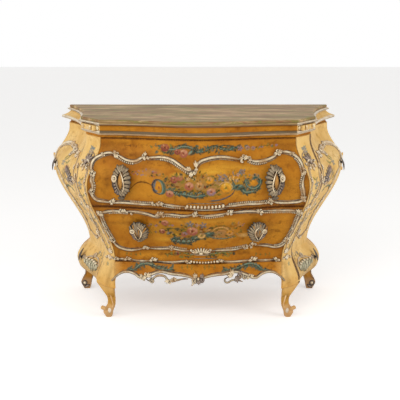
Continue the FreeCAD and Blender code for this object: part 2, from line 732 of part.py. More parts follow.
def strips(label, z, room=None):
    """Two runners of a drawer, right and left, as one piece with two solids."""
    both = []
    for side, x in (("right", PARTITION_HALF + " - Sizes.runner_wide"),
                    ("left", "-" + PARTITION_HALF)):
        strip = board("%s_%s" % (label, side), x, BACK + " - " + RAIL_DEPTH, z,
                      "Sizes.runner_wide", RAIL_DEPTH + " - Sizes.back_thick",
                      "Sizes.runner_thick", keep=False)
        if room:
            shaped = doc.addObject("Part::Common", "%s_%s_shaped" % (label, side))
            shaped.Base, shaped.Tool = strip, room
            strip = shaped
        both.append(strip)
    made = doc.addObject("Part::Compound", label)
    made.Label = label
    made.Links = both
    nodes.append(made)


strips("upper_runners", "Sizes.split_level + Sizes.rail_high / 2 - Sizes.runner_thick")
strips("lower_runners", BOTTOM_TOP,
       feature("runner_room", behind_front(bottom_top - 1, bottom_top + S.runner_thick + 1,
                                           S.front_thick + S.board_gap), keep=False))

shelf_blank = board("shelf_blank", PARTITION_HALF + " + Sizes.carcass_thick",
                    BACK + " - " + SHELF_DEPTH, "Sizes.shelf_level",
                    "Sizes.side_half + Sizes.side_swell - " + PARTITION_HALF,
                    SHELF_DEPTH + " - Sizes.rear_post_deep - Sizes.hinge_gap",
                    "Sizes.shelf_thick", keep=False)
shelf_room = inside_side(S.shelf_level - 5, S.shelf_level + S.shelf_thick + 5,
                         S.door_thick + S.board_gap)
shelf = joined("Common", "cupboard_shelf_right", shelf_blank,
               feature("shelf_room", shelf_room, keep=False))
shelf_mirror = doc.addObject("Part::Mirroring", "cupboard_shelf_left")
shelf_mirror.Label = "cupboard_shelf_left"
shelf_mirror.Source = shelf
shelf_mirror.Normal = Vector(1, 0, 0)
nodes.append(shelf_mirror)


# Ornament cut in the plane of the front and laid on the swelling wood

def on_front(x, z):
    """A point of an outline, spread to the width of the front."""
    return Vector(x * edge_half / DRAWN_HALF, 0, z)


def closed(points):
    """A closed smooth outline through points of the front, given as (x, z)."""
    spline = Part.BSplineCurve()
    spline.interpolate([on_front(x, z) for x, z in points], PeriodicFlag=True)
    return Part.Wire([spline.toShape()])


def through_block(wire, holes=()):
    """The outline, pierced, run through the whole depth of the front."""
    face = Part.Face(wire)
    for hole in holes:
        face = face.cut(Part.Face(hole))
    block = face.extrude(Vector(0, -2 * FAR, 0))
    block.translate(Vector(0, FAR, 0))
    return block


def layer(low, high, proud, sunk=0.0, less=0.0):
    """The layer of air in front of the wood that a carving fills."""
    return solid(front_skin(low, high, less, -proud).extrude(Vector(0, proud + sunk, 0)))


def inset(points, wide):
    """The same closed run of points drawn towards its inside by a width."""
    made = []
    count = len(points)
    area = sum(points[i][0] * points[(i + 1) % count][1] - points[(i + 1) % count][0] * points[i][1]
               for i in range(count))
    sign = 1 if area > 0 else -1
    for i in range(count):
        (ax, az), (bx, bz) = points[i - 1], points[(i + 1) % count]
        dx, dz = bx - ax, bz - az
        long = math.hypot(dx, dz)
        made.append((points[i][0] - sign * dz / long * wide, points[i][1] + sign * dx / long * wide))
    return made


def both_sides(half):
    """A run of points on the right, from the middle of the top to the middle of the foot."""
    return half + [(-x, z) for x, z in reversed(half) if abs(x) > 1]


def frame_band(half, low, high):
    points = both_sides(half)
    ring = through_block(closed(points), [closed(inset(points, S.carving_wide))])
    return layer(low, high, S.carving_proud, less=S.seam).common(ring)


upper_low, upper_high = S.split_level + S.seam, body_top - S.seam
lower_low, lower_high = S.drawer_foot + S.seam, S.split_level - S.seam
upper_frame = [(0, 716), (22, 719), (52, 736), (92, 751), (150, 744), (215, 752), (262, 740), (330, 757),
               (375, 760), (415, 742), (438, 712), (446, 664), (451, 600), (441, 562), (400, 552),
               (330, 554), (250, 560), (170, 552), (90, 544), (45, 549), (20, 544), (0, 542)]
lower_frame = [(0, 503), (25, 505), (65, 511), (130, 514), (200, 506), (262, 514), (340, 508), (405, 506),
               (435, 486), (426, 437), (404, 385), (372, 348), (335, 312), (280, 306), (225, 320),
               (165, 308), (100, 318), (50, 312), (22, 303), (0, 300)]


# Shell pulls: ribs fanned from a hub over a dome, a volute at the outer side, a boss to the wood

def shell_pull(outer):
    """Drawn facing +Z, top towards +Y, the volute on the side of the sign of outer."""
    wide, tall, dome = S.pull_wide / 2, S.pull_tall / 2, S.pull_dome
    rim, groove, count = 5.0, 3.5, 7
    radius = (tall ** 2 + dome ** 2) / (2 * dome)
    hub = Vector(0, -tall * 0.55, 0)
    lobes = []
    for i in range(count):
        a = math.radians(-75 + 150 * i / (count - 1))
        reach = 0.92 if i % 2 else 1.0
        lobes.append(Vector(wide * math.sin(a) * reach, tall * math.cos(a) * reach, 0))
    ribs = []
    for i in range(count):
        a = math.atan2((lobes[i] - hub).x, (lobes[i] - hub).y)
        long = (lobes[i] - hub).Length
        half = math.radians(9.2)
        left = hub + Vector(math.sin(a - half), math.cos(a - half), 0) * (long * 0.95)
        right = hub + Vector(math.sin(a + half), math.cos(a + half), 0) * (long * 0.95)
        tip = hub + Vector(math.sin(a), math.cos(a), 0) * (long * 1.06)
        near = hub + Vector(math.sin(a), math.cos(a), 0) * (long * 0.16)
        wire = Part.Wire([Part.makeLine(near, left), Part.Arc(left, tip, right).toShape(),
                          Part.makeLine(right, near)])
        ribs.append(Part.Face(wire).extrude(Vector(0, 0, rim + dome + 10)))
    ball = Part.makeSphere(radius, Vector(0, 0, dome + rim - radius))
    fan = ribs[0].multiFuse(ribs[1:]).common(ball)
    low_ball = Part.makeSphere(radius, Vector(0, 0, dome + rim - groove - radius))
    ground = Part.Wire([Part.Arc(Vector(-wide * 0.86, 0, 0), Vector(0, tall * 0.88, 0),
                                 Vector(wide * 0.86, 0, 0)).toShape(),
                        Part.Arc(Vector(wide * 0.86, 0, 0), Vector(0, -tall * 0.86, 0),
                                 Vector(-wide * 0.86, 0, 0)).toShape()])
    core = Part.Face(ground).extrude(Vector(0, 0, rim + dome + 10)).common(low_ball)
    volute = Part.makeCylinder(13, rim + dome * 0.75, Vector(outer * wide * 0.58, -tall * 0.52, 0))
    eye = Part.makeCylinder(6, rim + dome, Vector(outer * wide * 0.58, -tall * 0.52, 0))
    curl = Part.makeCylinder(9, rim + dome * 0.6, Vector(-outer * wide * 0.5, -tall * 0.6, 0))
    stub = Part.makeCone(4, 8, tall * 0.4, Vector(0, -tall, 6), Vector(0, 1, 0))
    body = core.multiFuse([fan, volute, eye, curl, stub])
    boss = Part.makeCylinder(S.pull_boss_radius, S.pull_stand + 30, Vector(0, 0, -S.pull_stand - 28))
    return body.fuse(boss)


def facing(half, level, shape):
    """Turns a piece drawn facing +Z so that it faces out of the front at a place on it."""
    at = Vector(half, front_y(half, level), level)
    dx = Vector(half + 5, front_y(half + 5, level), level) - Vector(half - 5, front_y(half - 5, level), level)
    dz = Vector(half, front_y(half, level + 5), level + 5) - Vector(half, front_y(half, level - 5), level - 5)
    out = dz.cross(dx) * -1
    out.normalize()
    if out.y > 0:
        out = out * -1
    up = dz - out * dz.dot(out)
    up.normalize()
    right = up.cross(out)
    turned = FreeCAD.Matrix(right.x, up.x, out.x, 0, right.y, up.y, out.y, 0,
                            right.z, up.z, out.z, 0, 0, 0, 0, 1)
    made = shape.copy()
    made.Placement = Placement(at + out * S.pull_stand, Placement(turned).Rotation)
    return made, out


def drawer(name, low, high, frame, box_low, box_high, pull_half, pull_level):
    """One drawer: swelling front, box, carved frame, pulls and their bolts."""
    skin = front_skin(low, high, S.seam)
    front = solid(skin.extrude(Vector(0, S.front_thick, 0)))
    in_front = solid(front_skin(low, high, S.seam + 1, -S.fit_gap).extrude(Vector(0, -400, 0)))
    pulls, bolts, bores = [], [], []
    for side in (1, -1):
        pull, out = facing(side * pull_half, pull_level, shell_pull(side))
        pulls.append(pull.common(in_front))
        at = Vector(side * pull_half, front_y(pull_half, pull_level), pull_level)
        start = at + out * 6
        long = (S.front_thick + 14) / abs(out.y)
        bore = Part.makeCylinder(S.bolt_radius, long, start, out * -1)
        bores.append(bore)
        nut = Part.makeCylinder(S.bolt_nut_radius, 5, start - out * (long - 7), out * -1)
        bolts.append(bore.fuse(nut).cut(pull.common(in_front)))
    front = front.cut(Part.makeCompound(bolts))
    feature(name + "_front", front)
    feature(name + "_frame", frame_band(frame, low, high))
    feature(name + "_pulls", Part.makeCompound(pulls))
    feature(name + "_pull_bolts", Part.makeCompound(bolts))

    half = "(" + PARTITION_HALF + " - Sizes.slide_gap)"
    deep = "(Sizes.neck_depth + Sizes.front_swell - Sizes.box_back_depth)"
    start_y = BACK + " - Sizes.neck_depth - Sizes.front_swell"
    tall = "(%s) - (%s)" % (box_high, box_low)
    room = feature(name + "_room", behind_front(low, high, S.front_thick + S.fit_gap), keep=False)
    for side, x in (("right", half + " - Sizes.box_wall"), ("left", "-" + half)):
        blank = board("%s_side_%s_blank" % (name, side), x, start_y, box_low, "Sizes.box_wall",
                      deep, tall, keep=False)
        joined("Common", "%s_side_%s" % (name, side), blank, room)
    inner = "(2 * (" + PARTITION_HALF + " - Sizes.slide_gap - Sizes.box_wall))"
    floor_z = "(%s) + Sizes.box_floor_up" % box_low
    floor = board(name + "_bottom_blank", "-" + inner + " / 2", start_y, floor_z, inner,
                  deep + " - Sizes.box_wall", "Sizes.box_floor", keep=False)
    joined("Common", name + "_bottom", floor, room)
    board(name + "_back", "-" + inner + " / 2", BACK + " - Sizes.box_back_depth - Sizes.box_wall",
          box_low, inner, "Sizes.box_wall", tall)


drawer("upper_drawer", upper_low, upper_high, upper_frame,
       "Sizes.split_level + Sizes.rail_high / 2 + Sizes.ride_gap", "Sizes.upper_box_top",
       edge_half - S.pull_in, S.pull_level)
drawer("lower_drawer", lower_low, lower_high, lower_frame,
       BOTTOM_TOP + " + Sizes.runner_thick + Sizes.ride_gap", "Sizes.lower_box_top",
       edge_half - S.low_pull_in, S.low_pull_level)
edge_band = Part.makeBox(FAR, FAR, S.carving_wide * 0.8,
                         Vector(-FAR / 2, -FAR / 2, lower_low + 1))
feature("lower_drawer_edge_moulding",
        layer(lower_low, lower_high, S.carving_proud, less=S.seam).common(edge_band))


# Apron: a flaring board with a shaped lower edge and pierced carving hung on it

apron_edge = [(0, 186), (22, 196), (60, 205), (118, 209), (165, 214), (210, 200), (253, 184),
              (285, 200), (321, 206), (352, 196), (386, 168)]


def apron():
    board_shape = solid(front_skin(S.apron_foot, bottom_top, 0, rows=8)
                        .extrude(Vector(0, S.apron_thick, 0)))
    edge_points = [(-x, z) for x, z in reversed(apron_edge[1:])] + apron_edge
    spline = Part.BSplineCurve()
    spline.interpolate([on_front(x, z) for x, z in edge_points])
    curve = spline.toShape()
    end = on_front(*edge_points[-1]).x
    low = S.apron_foot - 40
    wire = Part.Wire([curve, Part.makeLine(Vector(end, 0, edge_points[-1][1]), Vector(end, 0, low)),
                      Part.makeLine(Vector(end, 0, low), Vector(-end, 0, low)),
                      Part.makeLine(Vector(-end, 0, low), Vector(-end, 0, edge_points[0][1]))])
    return board_shape.cut(through_block(wire))


apron_board = apron()
feature("apron_front", main_part(apron_board.cut(post).cut(mirrored(post))))


def apron_carving():
    """A beading along the lower edge, with a pierced scroll hung on each side and a middle leaf."""
    up = [(x, z + 13) for x, z in apron_edge[:-1]]
    down = [(x, z + 1) for x, z in apron_edge[:-1]]
    right_points = up + list(reversed(down))
    left_points = [(-x, z) for x, z in right_points]
    pieces = []
    for points in (right_points, left_points):
        run = len(up)
        one, two = Part.BSplineCurve(), Part.BSplineCurve()
        one.interpolate([on_front(x, z) for x, z in points[:run]])
        two.interpolate([on_front(x, z) for x, z in points[run:]])
        a, b = one.toShape(), two.toShape()
        wire = Part.Wire(Part.__sortEdges__([
            a, b, Part.makeLine(one.EndPoint, two.StartPoint),
            Part.makeLine(two.EndPoint, one.StartPoint)]))
        pieces.append(through_block(wire))
    for side in (1, -1):
        outline_points = [(side * x, z) for x, z in
                          [(70, 216), (110, 221), (160, 222), (205, 216), (246, 200), (236, 178),
                           (214, 172), (196, 190), (160, 186), (124, 180), (92, 190)]]
        hole_points = [(side * x, z) for x, z in
                       [(100, 206), (140, 203), (176, 206), (196, 201), (170, 196), (130, 192)]]
        pieces.append(through_block(closed(outline_points), [closed(hole_points)]))
    leaf = [(0, 232), (22, 218), (30, 200), (16, 186), (0, 176), (-16, 186), (-30, 200), (-22, 218)]
    pieces.append(through_block(closed(leaf)))
    shape = pieces[0].multiFuse(pieces[1:])
    return layer(S.apron_foot + 1, bottom_top - 1, S.carving_proud, less=3).common(shape)


feature("apron_carving", apron_carving())


# Doors: the swelling sides, each a panel hung on two hinges at the rear post

def door_panel():
    low, high = S.leg_level + S.seam, body_top - S.seam
    upper = solid(side_skin(S.waist_level, high, rows=13).extrude(Vector(-S.door_thick, 0, 0)))
    lower = solid(side_skin(low, S.waist_level, rows=8).extrude(Vector(-S.door_thick, 0, 0)))
    panel = upper.fuse(lower).removeSplitter()
    keep = beyond_joint(S.seam)
    return panel.common(keep)


door = door_panel()
pair("door_panel", door)


def side_closed(points):
    spline = Part.BSplineCurve()
    spline.interpolate([Vector(0, back_y - d, z) for d, z in points], PeriodicFlag=True)
    return Part.Face(Part.Wire([spline.toShape()]))


def door_carving():
    """A long cartouche following the door, and a leaf under the waist."""
    ring = [(384, 760), (330, 786), (250, 792), (160, 786), (86, 756), (74, 690), (80, 600), (92, 500),
            (104, 400), (122, 330), (170, 300), (226, 306), (274, 345), (316, 420), (352, 520),
            (386, 610), (400, 690)]
    pairs = [(a, b) for a, b in ring]
    hole = inset(pairs, S.carving_wide)
    face = side_closed(ring).cut(side_closed(hole))
    block = face.extrude(Vector(FAR, 0, 0))
    reach = solid(side_skin(S.waist_level, body_top - S.seam, -S.carving_proud, rows=13)
                  .extrude(Vector(-S.carving_proud, 0, 0)))
    upper = reach.common(block)
    leaf = side_closed([(236, 246), (276, 238), (320, 214), (338, 186), (310, 178), (282, 196),
                        (252, 190), (222, 172), (200, 192), (204, 226)])
    low_reach = solid(side_skin(S.leg_level + 2, S.waist_level - 1, -S.carving_proud, rows=8)
                      .extrude(Vector(-S.carving_proud, 0, 0)))
    lower = low_reach.common(leaf.extrude(Vector(FAR, 0, 0)))
    return Part.makeCompound([upper, lower])


pair("door_carving", door_carving())


def side_pull(level):
    """A leaf-shaped plate on a stem."""
    y = back_y - S.side_pull_depth
    x = side_x(y, level)
    half, tall = S.side_pull_wide / 2, S.side_pull_tall / 2
    top, foot = Vector(0, 0, tall), Vector(0, 0, -tall)
    wire = Part.Wire([Part.Arc(foot, Vector(0, half, 0), top).toShape(),
                      Part.Arc(top, Vector(0, -half, 0), foot).toShape()])
    plate = Part.Face(wire).extrude(Vector(S.side_pull_thick, 0, 0))
    plate.translate(Vector(x + S.side_pull_stem, y, level))
    stem = Part.makeCone(S.side_pull_stem_radius * 1.5, S.side_pull_stem_radius,
                         S.side_pull_stem + 40, Vector(x - 40, y, level), Vector(1, 0, 0))
    outside = (side_skin(S.waist_level, body_top - S.seam) if level > S.waist_level
               else side_skin(S.leg_level, S.waist_level))
    air = solid(outside.extrude(Vector(300, 0, 0)))
    return plate.fuse(stem.common(air))


pair("door_pulls", Part.makeCompound([side_pull(S.side_pull_level), side_pull(S.side_pull_low_level)]))

pin_x = S.side_half + S.side_swell + S.hinge_out
pin_y = back_y - S.rear_post_deep - S.hinge_gap / 2


def hinge_leaves(on_door):
    """Leaves and knuckles of both hinges; the door's carry the pins."""
    pieces = []
    for level in (S.hinge_low_level, S.hinge_high_level):
        low = level - S.hinge_long / 2
        third = S.hinge_long / 3
        y = pin_y - S.hinge_gap / 2 if on_door else pin_y + S.hinge_gap / 2 - S.leaf_thick
        if on_door:
            spans = [(low, third - 0.5), (low + 2 * third + 0.5, third - 0.5)]
        else:
            spans = [(low + third, third)]
        shape = None
        for z, long in spans:
            plate = Part.makeBox(S.leaf_wide, S.leaf_thick, long, Vector(pin_x - S.leaf_wide, y, z))
            knuckle = Part.makeCylinder(S.knuckle_radius, long, Vector(pin_x, pin_y, z))
            part = plate.fuse(knuckle)
            shape = part if shape is None else shape.fuse(part)
        inner = pin_x - S.leaf_wide
        plate = Part.makeBox(S.leaf_wide - 14, S.leaf_thick, S.hinge_long, Vector(inner, y, low))
        shape = shape.fuse(plate)
        if on_door:
            shape = shape.fuse(Part.makeCylinder(S.pin_radius, S.hinge_long, Vector(pin_x, pin_y, low)))
        else:
            shape = shape.cut(Part.makeCylinder(S.pin_radius + S.pin_gap, S.hinge_long,
                                                Vector(pin_x, pin_y, low)))
        pieces.append(shape)
    return Part.makeCompound(pieces)


pair("door_hinges", hinge_leaves(True))
pair("post_hinges", hinge_leaves(False))


def door_lock():
    y = back_y - joint_depth + 60
    block = Part.makeBox(120, 46, 60, Vector(side_x(y, S.bulge_level) - S.door_thick - 60 - 60, y,
                                             S.bulge_level - 30))
    inside = inside_side(S.bulge_level - 60, S.bulge_level + 60, S.door_thick + S.lock_gap)
    near = solid(side_skin(S.bulge_level - 60, S.bulge_level + 60, S.door_thick + 12)
                 .extrude(Vector(-FAR / 2, 0, 0)))
    return block.common(inside).cut(near)


pair("door_lock", door_lock())

# Check every object, then write the pieces

doc.recompute()
for made in doc.Objects:
    if any(word in made.State for word in ("Invalid", "Error")):
        raise RuntimeError("failed object: " + made.Label)
os.makedirs("parts", exist_ok=True)
for made in nodes:
    shape = made.Shape
    if shape.isNull() or not shape.isValid() or shape.Volume <= 0:
        raise RuntimeError("bad shape: " + made.Label)
    shape.exportStep("parts/%s.step" % made.Label)
    box = shape.BoundBox
    print("%-28s solids %d volume %9.0f  x %.0f..%.0f y %.0f..%.0f z %.0f..%.0f" % (
        made.Label, len(shape.Solids), shape.Volume, box.XMin, box.XMax, box.YMin, box.YMax,
        box.ZMin, box.ZMax))
print(len(nodes), "pieces")
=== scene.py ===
# %% [markdown]
# # A painted and carved chest of drawers
# The solids of the chest come from CAD: the case, two drawers, two side doors, legs and a top.
# This lesson dresses them. Thin skins of gesso carry the painting, carvings are modelled flat and
# then bent onto the swelling wood, and every plain part gets a finish of its own.

# %% Load the solids
import math
import random

import bmesh
import bpy
import numpy as np
from mathutils import Matrix, Vector


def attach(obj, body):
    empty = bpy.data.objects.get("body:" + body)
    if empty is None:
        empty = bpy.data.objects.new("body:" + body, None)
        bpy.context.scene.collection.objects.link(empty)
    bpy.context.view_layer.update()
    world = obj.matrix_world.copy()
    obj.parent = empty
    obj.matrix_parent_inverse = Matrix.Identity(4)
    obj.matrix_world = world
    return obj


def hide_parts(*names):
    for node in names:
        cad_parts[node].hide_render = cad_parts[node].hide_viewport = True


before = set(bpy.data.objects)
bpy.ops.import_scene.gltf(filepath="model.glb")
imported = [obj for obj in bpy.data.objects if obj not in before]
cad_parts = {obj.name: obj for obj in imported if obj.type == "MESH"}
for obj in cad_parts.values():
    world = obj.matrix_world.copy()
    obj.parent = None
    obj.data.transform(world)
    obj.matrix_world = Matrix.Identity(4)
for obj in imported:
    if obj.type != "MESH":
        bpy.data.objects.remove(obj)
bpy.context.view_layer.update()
MM = 0.001

# %% [markdown]
# ## The swelling of the wood
# Every outside face of the chest swells near the top and draws in below. A carving that is bent
# onto such a face needs to know where the face is, so the lines that the case was drawn from are
# repeated here: how far each upright line stands out of its place at the neck, by level. A smooth
# step between a few stations draws them, which is how a maker's template runs, with no corners.

# %% Lines of the case
BACK_Y = 0.3075
EDGE_X, EDGE_DEEP = 0.417, 0.480
JOINT_X, JOINT_DEEP = 0.490, 0.385
SIDE_X, FRONT_DEEP = 0.605, 0.540
REAR_Y = BACK_Y - 0.044
POST_CROWN = 0.008
BODY_TOP, SPLIT, DRAWER_FOOT, LEG_TOP = 0.823, 0.527, 0.254, 0.135
NECK, BULGE, WAIST = 0.805, 0.640, 0.255
DOOR_SWEEP = 2.6
SEAM = 0.0015
SWELL = ((NECK, 0), (BULGE, 0.075), (WAIST, -0.082))
FOOT_SWEEP = (0.172, -0.020)


def ease(a, b, t):
    t = np.clip(t, 0, 1)
    return a + (b - a) * t * t * (3 - 2 * t)


def along(z, stations):
    """The value at a level, easing between stations that run from the top down."""
    value = np.full(np.shape(z), stations[0][1], float)
    for (top, above), (foot, below) in zip(stations, stations[1:]):
        value = np.where(z < top, ease(above, below, (top - z) / (top - foot)), value)
    return value


def below_waist(z, over, amount):
    return amount * np.sin(np.pi / 2 * np.clip((WAIST - z) / over, 0, 1))


def edge_out(z):
    return along(z, ((NECK, 0), (0.620, 0.058), (WAIST, -0.046), (LEG_TOP, -0.050)))


def corner_out(z):
    return along(z, ((NECK, 0), (BULGE, 0.049), (0.270, -0.065), (0.150, -0.028)))


def front_out(z):
    return along(z, SWELL) + below_waist(z, 0.090, 0.052)


def side_out(z):
    foot = along(z, (FOOT_SWEEP, (0.065, -0.058)))
    hollow = SWELL[-1][1] + below_waist(z, 0.083, 0.062)
    return np.where(z < FOOT_SWEEP[0], foot, np.where(z < WAIST, hollow, along(z, SWELL)))


# %% [markdown]
# Each face is a function from two flat measures, across and up, to a point in space. The front
# is measured by x and z, a post by the width of its canted face, and a door by its depth.

# %% Faces of the case
def front_face(u, v):
    edge_x = EDGE_X + edge_out(v)
    edge_y = BACK_Y - EDGE_DEEP - corner_out(v)
    middle_y = BACK_Y - FRONT_DEEP - front_out(v)
    share = np.cos(np.pi / 2 * np.clip(np.abs(u) / edge_x, 0, 1)) ** 2
    return u, edge_y + (middle_y - edge_y) * share, v


def door_joint(v):
    """The line where a post and its door meet."""
    out = corner_out(v)
    return JOINT_X + out, BACK_Y - JOINT_DEEP - out


def post_ends(v):
    return EDGE_X + edge_out(v), BACK_Y - EDGE_DEEP - corner_out(v), *door_joint(v)


def post_width(v):
    ax, ay, bx, by = post_ends(v)
    return np.hypot(bx - ax, by - ay)


def post_face(u, v):
    """u runs from 0 at the drawers to 1 at the door."""
    ax, ay, bx, by = post_ends(v)
    wide = np.hypot(bx - ax, by - ay)
    crown = POST_CROWN * 4 * u * (1 - u)
    return (ax + (bx - ax) * u + (by - ay) / wide * crown,
            ay + (by - ay) * u - (bx - ax) / wide * crown, v)


def door_face(u, v):
    """u is the place front to back, as in the case's own Y."""
    joint_x, joint_y = door_joint(v)
    t = np.clip((u - joint_y) / (REAR_Y - joint_y), 0, 1)
    neck = ease(0, 1, (v - BULGE) / (NECK - BULGE))
    share = ease(0, 1, t) * (1 - neck) + t ** DOOR_SWEEP * neck
    return joint_x + (SIDE_X + side_out(v) - joint_x) * share, u, v


# %% [markdown]
# `bent` takes flat points, where the third measure is the height above the wood, to their place on
# a face. The direction out of the wood comes from stepping a little across and a little up.

# %% Bend flat points onto a face
STEP = 0.0005


def bent(face, u, v, h):
    at = np.stack(np.broadcast_arrays(*face(u, v)), -1)
    right = np.stack(np.broadcast_arrays(*face(u + STEP, v)), -1) - at
    up = np.stack(np.broadcast_arrays(*face(u, v + STEP)), -1) - at
    out = np.cross(right, up)
    out /= np.linalg.norm(out, axis=-1, keepdims=True)
    return at + out * np.asarray(h)[..., None]


def shell_points(mesh):
    flat = np.zeros(len(mesh.vertices) * 3, np.float32)
    mesh.vertices.foreach_get("co", flat)
    return flat.reshape(-1, 3).astype(float)


def set_points(mesh, points):
    mesh.vertices.foreach_set("co", points.astype(np.float32).ravel())
    mesh.update()


made_as = {}  # what each piece was placed with, for its mirrored copy


def placed(name, mesh, body, slot, replaced=()):
    """A finished piece, riding with the body that carries it."""
    obj = bpy.data.objects.new(name, mesh)
    bpy.context.scene.collection.objects.link(obj)
    for polygon in mesh.polygons:
        polygon.use_smooth = True
    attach(obj, body)
    if replaced:
        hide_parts(*replaced)
    made_as[name] = body, slot, replaced
    return obj


# %% [markdown]
# ## Shared effects
# Two effects come back in several finishes, so each is a node group with named sockets: the
# mottled, streaky and crazed ground of old paint, and the glaze that stays in the hollows of
# carving while the crests are rubbed bright. A group only gives out colours and masks that change
# over the surface.

# %% Helpers for node trees
def linear(code):
    """The scene value of a colour that is written as on a paint chart."""
    parts = [int(code[i:i + 2], 16) / 255 for i in (0, 2, 4)]
    return [p / 12.92 if p <= 0.04045 else ((p + 0.055) / 1.055) ** 2.4 for p in parts]


class Tree:
    """A node tree, with short words for the nodes that every finish uses."""

    def __init__(self, tree):
        self.tree = tree

    def put(self, socket, value):
        """Links a socket to another one, or gives it a value."""
        if isinstance(value, bpy.types.NodeSocket):
            self.tree.links.new(value, socket)
        else:
            whole = socket.type == "RGBA" and len(value) == 3
            socket.default_value = (*value, 1) if whole else value

    def node(self, kind, values=(), **settings):
        made = self.tree.nodes.new("ShaderNode" + kind)
        for key, value in settings.items():
            setattr(made, key, value)
        for key, value in dict(values).items():
            self.put(made.inputs[key], value)
        return made

    def math(self, operation, *values):
        return self.node("Math", enumerate(values), operation=operation).outputs[0]

    def blend(self, share, a, b):
        return self.node("Mix", {0: share, 6: a, 7: b}, data_type="RGBA",
                         clamp_result=True).outputs[2]

    def spread(self, value, low, high, to_low=0.0, to_high=1.0):
        """A value stretched from one range to another and cut off at its ends."""
        return self.node("MapRange", {"Value": value, "From Min": low, "From Max": high,
                                      "To Min": to_low, "To Max": to_high}).outputs[0]

    def stain(self, colour, value, low, high, strength, tint):
        """Lays a tint over a colour where a value is high."""
        return self.blend(self.spread(value, low, high, 0, strength), colour, tint)

    def noise(self, where, scale, detail=4.0, rough=0.55):
        return self.node("TexNoise", {"Vector": where, "Scale": scale, "Detail": detail,
                                      "Roughness": rough}).outputs["Fac"]

    def grain(self, where, stretch, detail=5.0, rough=0.6):
        """Noise that is drawn out: the larger a number of stretch, the finer across that way."""
        turned = self.node("Mapping", {"Vector": where, "Scale": stretch}).outputs[0]
        return self.noise(turned, 1.0, detail, rough)

    def from_middle(self, value, middle):
        return self.math("ABSOLUTE", self.math("SUBTRACT", value, middle))


def new_group(name, inputs, outputs):
    group = bpy.data.node_groups.new(name, "ShaderNodeTree")
    for way, sockets in (("INPUT", inputs), ("OUTPUT", outputs)):
        for label, kind in sockets.items():
            group.interface.new_socket(label, in_out=way, socket_type="NodeSocket" + kind)
    given, out = group.nodes.new("NodeGroupInput"), group.nodes.new("NodeGroupOutput")
    return group, Tree(group), given.outputs, out.inputs


# %% Group: ground of old paint
def make_old_paint():
    group, tree, given, out = new_group(
        "Old paint", {"Where": "Vector", "Light": "Color", "Body": "Color", "Deep": "Color",
                      "Streak": "Vector"}, {"Color": "Color", "Rough": "Float", "Height": "Float"})
    where = given["Where"]
    clouds = tree.noise(where, 9.0, 5.0, 0.6)
    mottle = tree.noise(where, 38.0, 4.0, 0.6)
    patches = tree.noise(where, 19.0, 5.0, 0.65)
    streaks = tree.grain(where, given["Streak"], 6.0, 0.62)
    colour = tree.blend(tree.spread(clouds, 0.36, 0.66), given["Body"], given["Light"])
    for value, low, high, strength in ((streaks, 0.5, 0.78, 0.4), (patches, 0.52, 0.72, 0.55),
                                       (mottle, 0.58, 0.74, 0.5)):
        colour = tree.stain(colour, value, low, high, strength, given["Deep"])
    wavy = tree.node("Mapping", {"Vector": where, "Scale": (1.0, 1.0, 1.7)}).outputs[0]
    cells = tree.node("TexVoronoi", {"Vector": wavy, "Scale": 46.0}, feature="DISTANCE_TO_EDGE")
    crack = tree.spread(cells.outputs["Distance"], 0.0, 0.035, 1, 0)
    crazed = tree.math("MULTIPLY", crack, tree.spread(clouds, 0.5, 0.6))
    tree.put(out["Color"], tree.stain(colour, crazed, 0, 1, 0.45, linear("5a3512")))
    tree.put(out["Rough"], tree.spread(mottle, 0.3, 0.7, 0.38, 0.58))
    tree.put(out["Height"], tree.math("MULTIPLY_ADD", streaks, 0.6, tree.spread(crazed, 0, 1, 0, -1)))
    return group


old_paint = make_old_paint()


# %% Group: glaze in the hollows of carving
def make_hollow_glaze():
    group, tree, given, out = new_group(
        "Glaze in hollows", {"Where": "Vector", "Relief": "Float", "Leaf": "Color", "Rubbed": "Color",
                             "Glaze": "Color"},
        {"Color": "Color", "Rough": "Float", "Bare": "Float", "Height": "Float"})
    where = given["Where"]
    spots = tree.noise(where, 85.0, 5.0, 0.65)
    tarnish = tree.noise(where, 34.0, 4.0, 0.6)
    fine = tree.noise(where, 420.0, 3.0, 0.6)
    bright = tree.spread(tree.math("MULTIPLY_ADD", spots, 0.5, given["Relief"]), 0.42, 0.86)
    colour = tree.blend(bright, given["Glaze"], given["Leaf"])
    colour = tree.stain(colour, spots, 0.56, 0.72, 0.7, given["Rubbed"])
    colour = tree.stain(colour, tarnish, 0.46, 0.64, 0.75, given["Rubbed"])
    tree.put(out["Color"], tree.stain(colour, fine, 0.35, 0.8, 0.25, given["Glaze"]))
    tree.put(out["Rough"], tree.spread(bright, 0, 1, 0.62, 0.33))
    tree.put(out["Bare"], bright)
    tree.put(out["Height"], fine)
    return group


hollow_glaze = make_hollow_glaze()
print("node groups:", [group.name for group in bpy.data.node_groups])

# %% [markdown]
# ## Finishes
# The real chest is painted softwood. The front is a deep golden ochre, the posts, sides and neck a
# paler yellow, the carving has silver leaf under a brown glaze, the top is painted as marble and
# the hidden boards are bare. Each finish is one short function around the shared groups.


# %% Painted finish, with or without a painted picture
def blank(name):
    material = bpy.data.materials.new(name)
    material.use_nodes = True
    tree = Tree(material.node_tree)
    return material, tree, tree.node("TexCoord").outputs["Object"]


def finished(material, tree, surface, height, strength, distance):
    """Sets the material's own shader, with a bump from a height."""
    bump = tree.node("Bump", {"Height": height, "Strength": strength, "Distance": distance})
    shader = material.node_tree.nodes["Principled BSDF"]
    for key, value in {**surface, "Normal": bump.outputs[0]}.items():
        tree.put(shader.inputs[key], value)
    return material


def ground_of(tree, where, codes, streak):
    light, body, deep = (linear(code) for code in codes)
    return tree.node("Group", {"Where": where, "Light": light, "Body": body, "Deep": deep,
                               "Streak": streak}, node_tree=old_paint).outputs


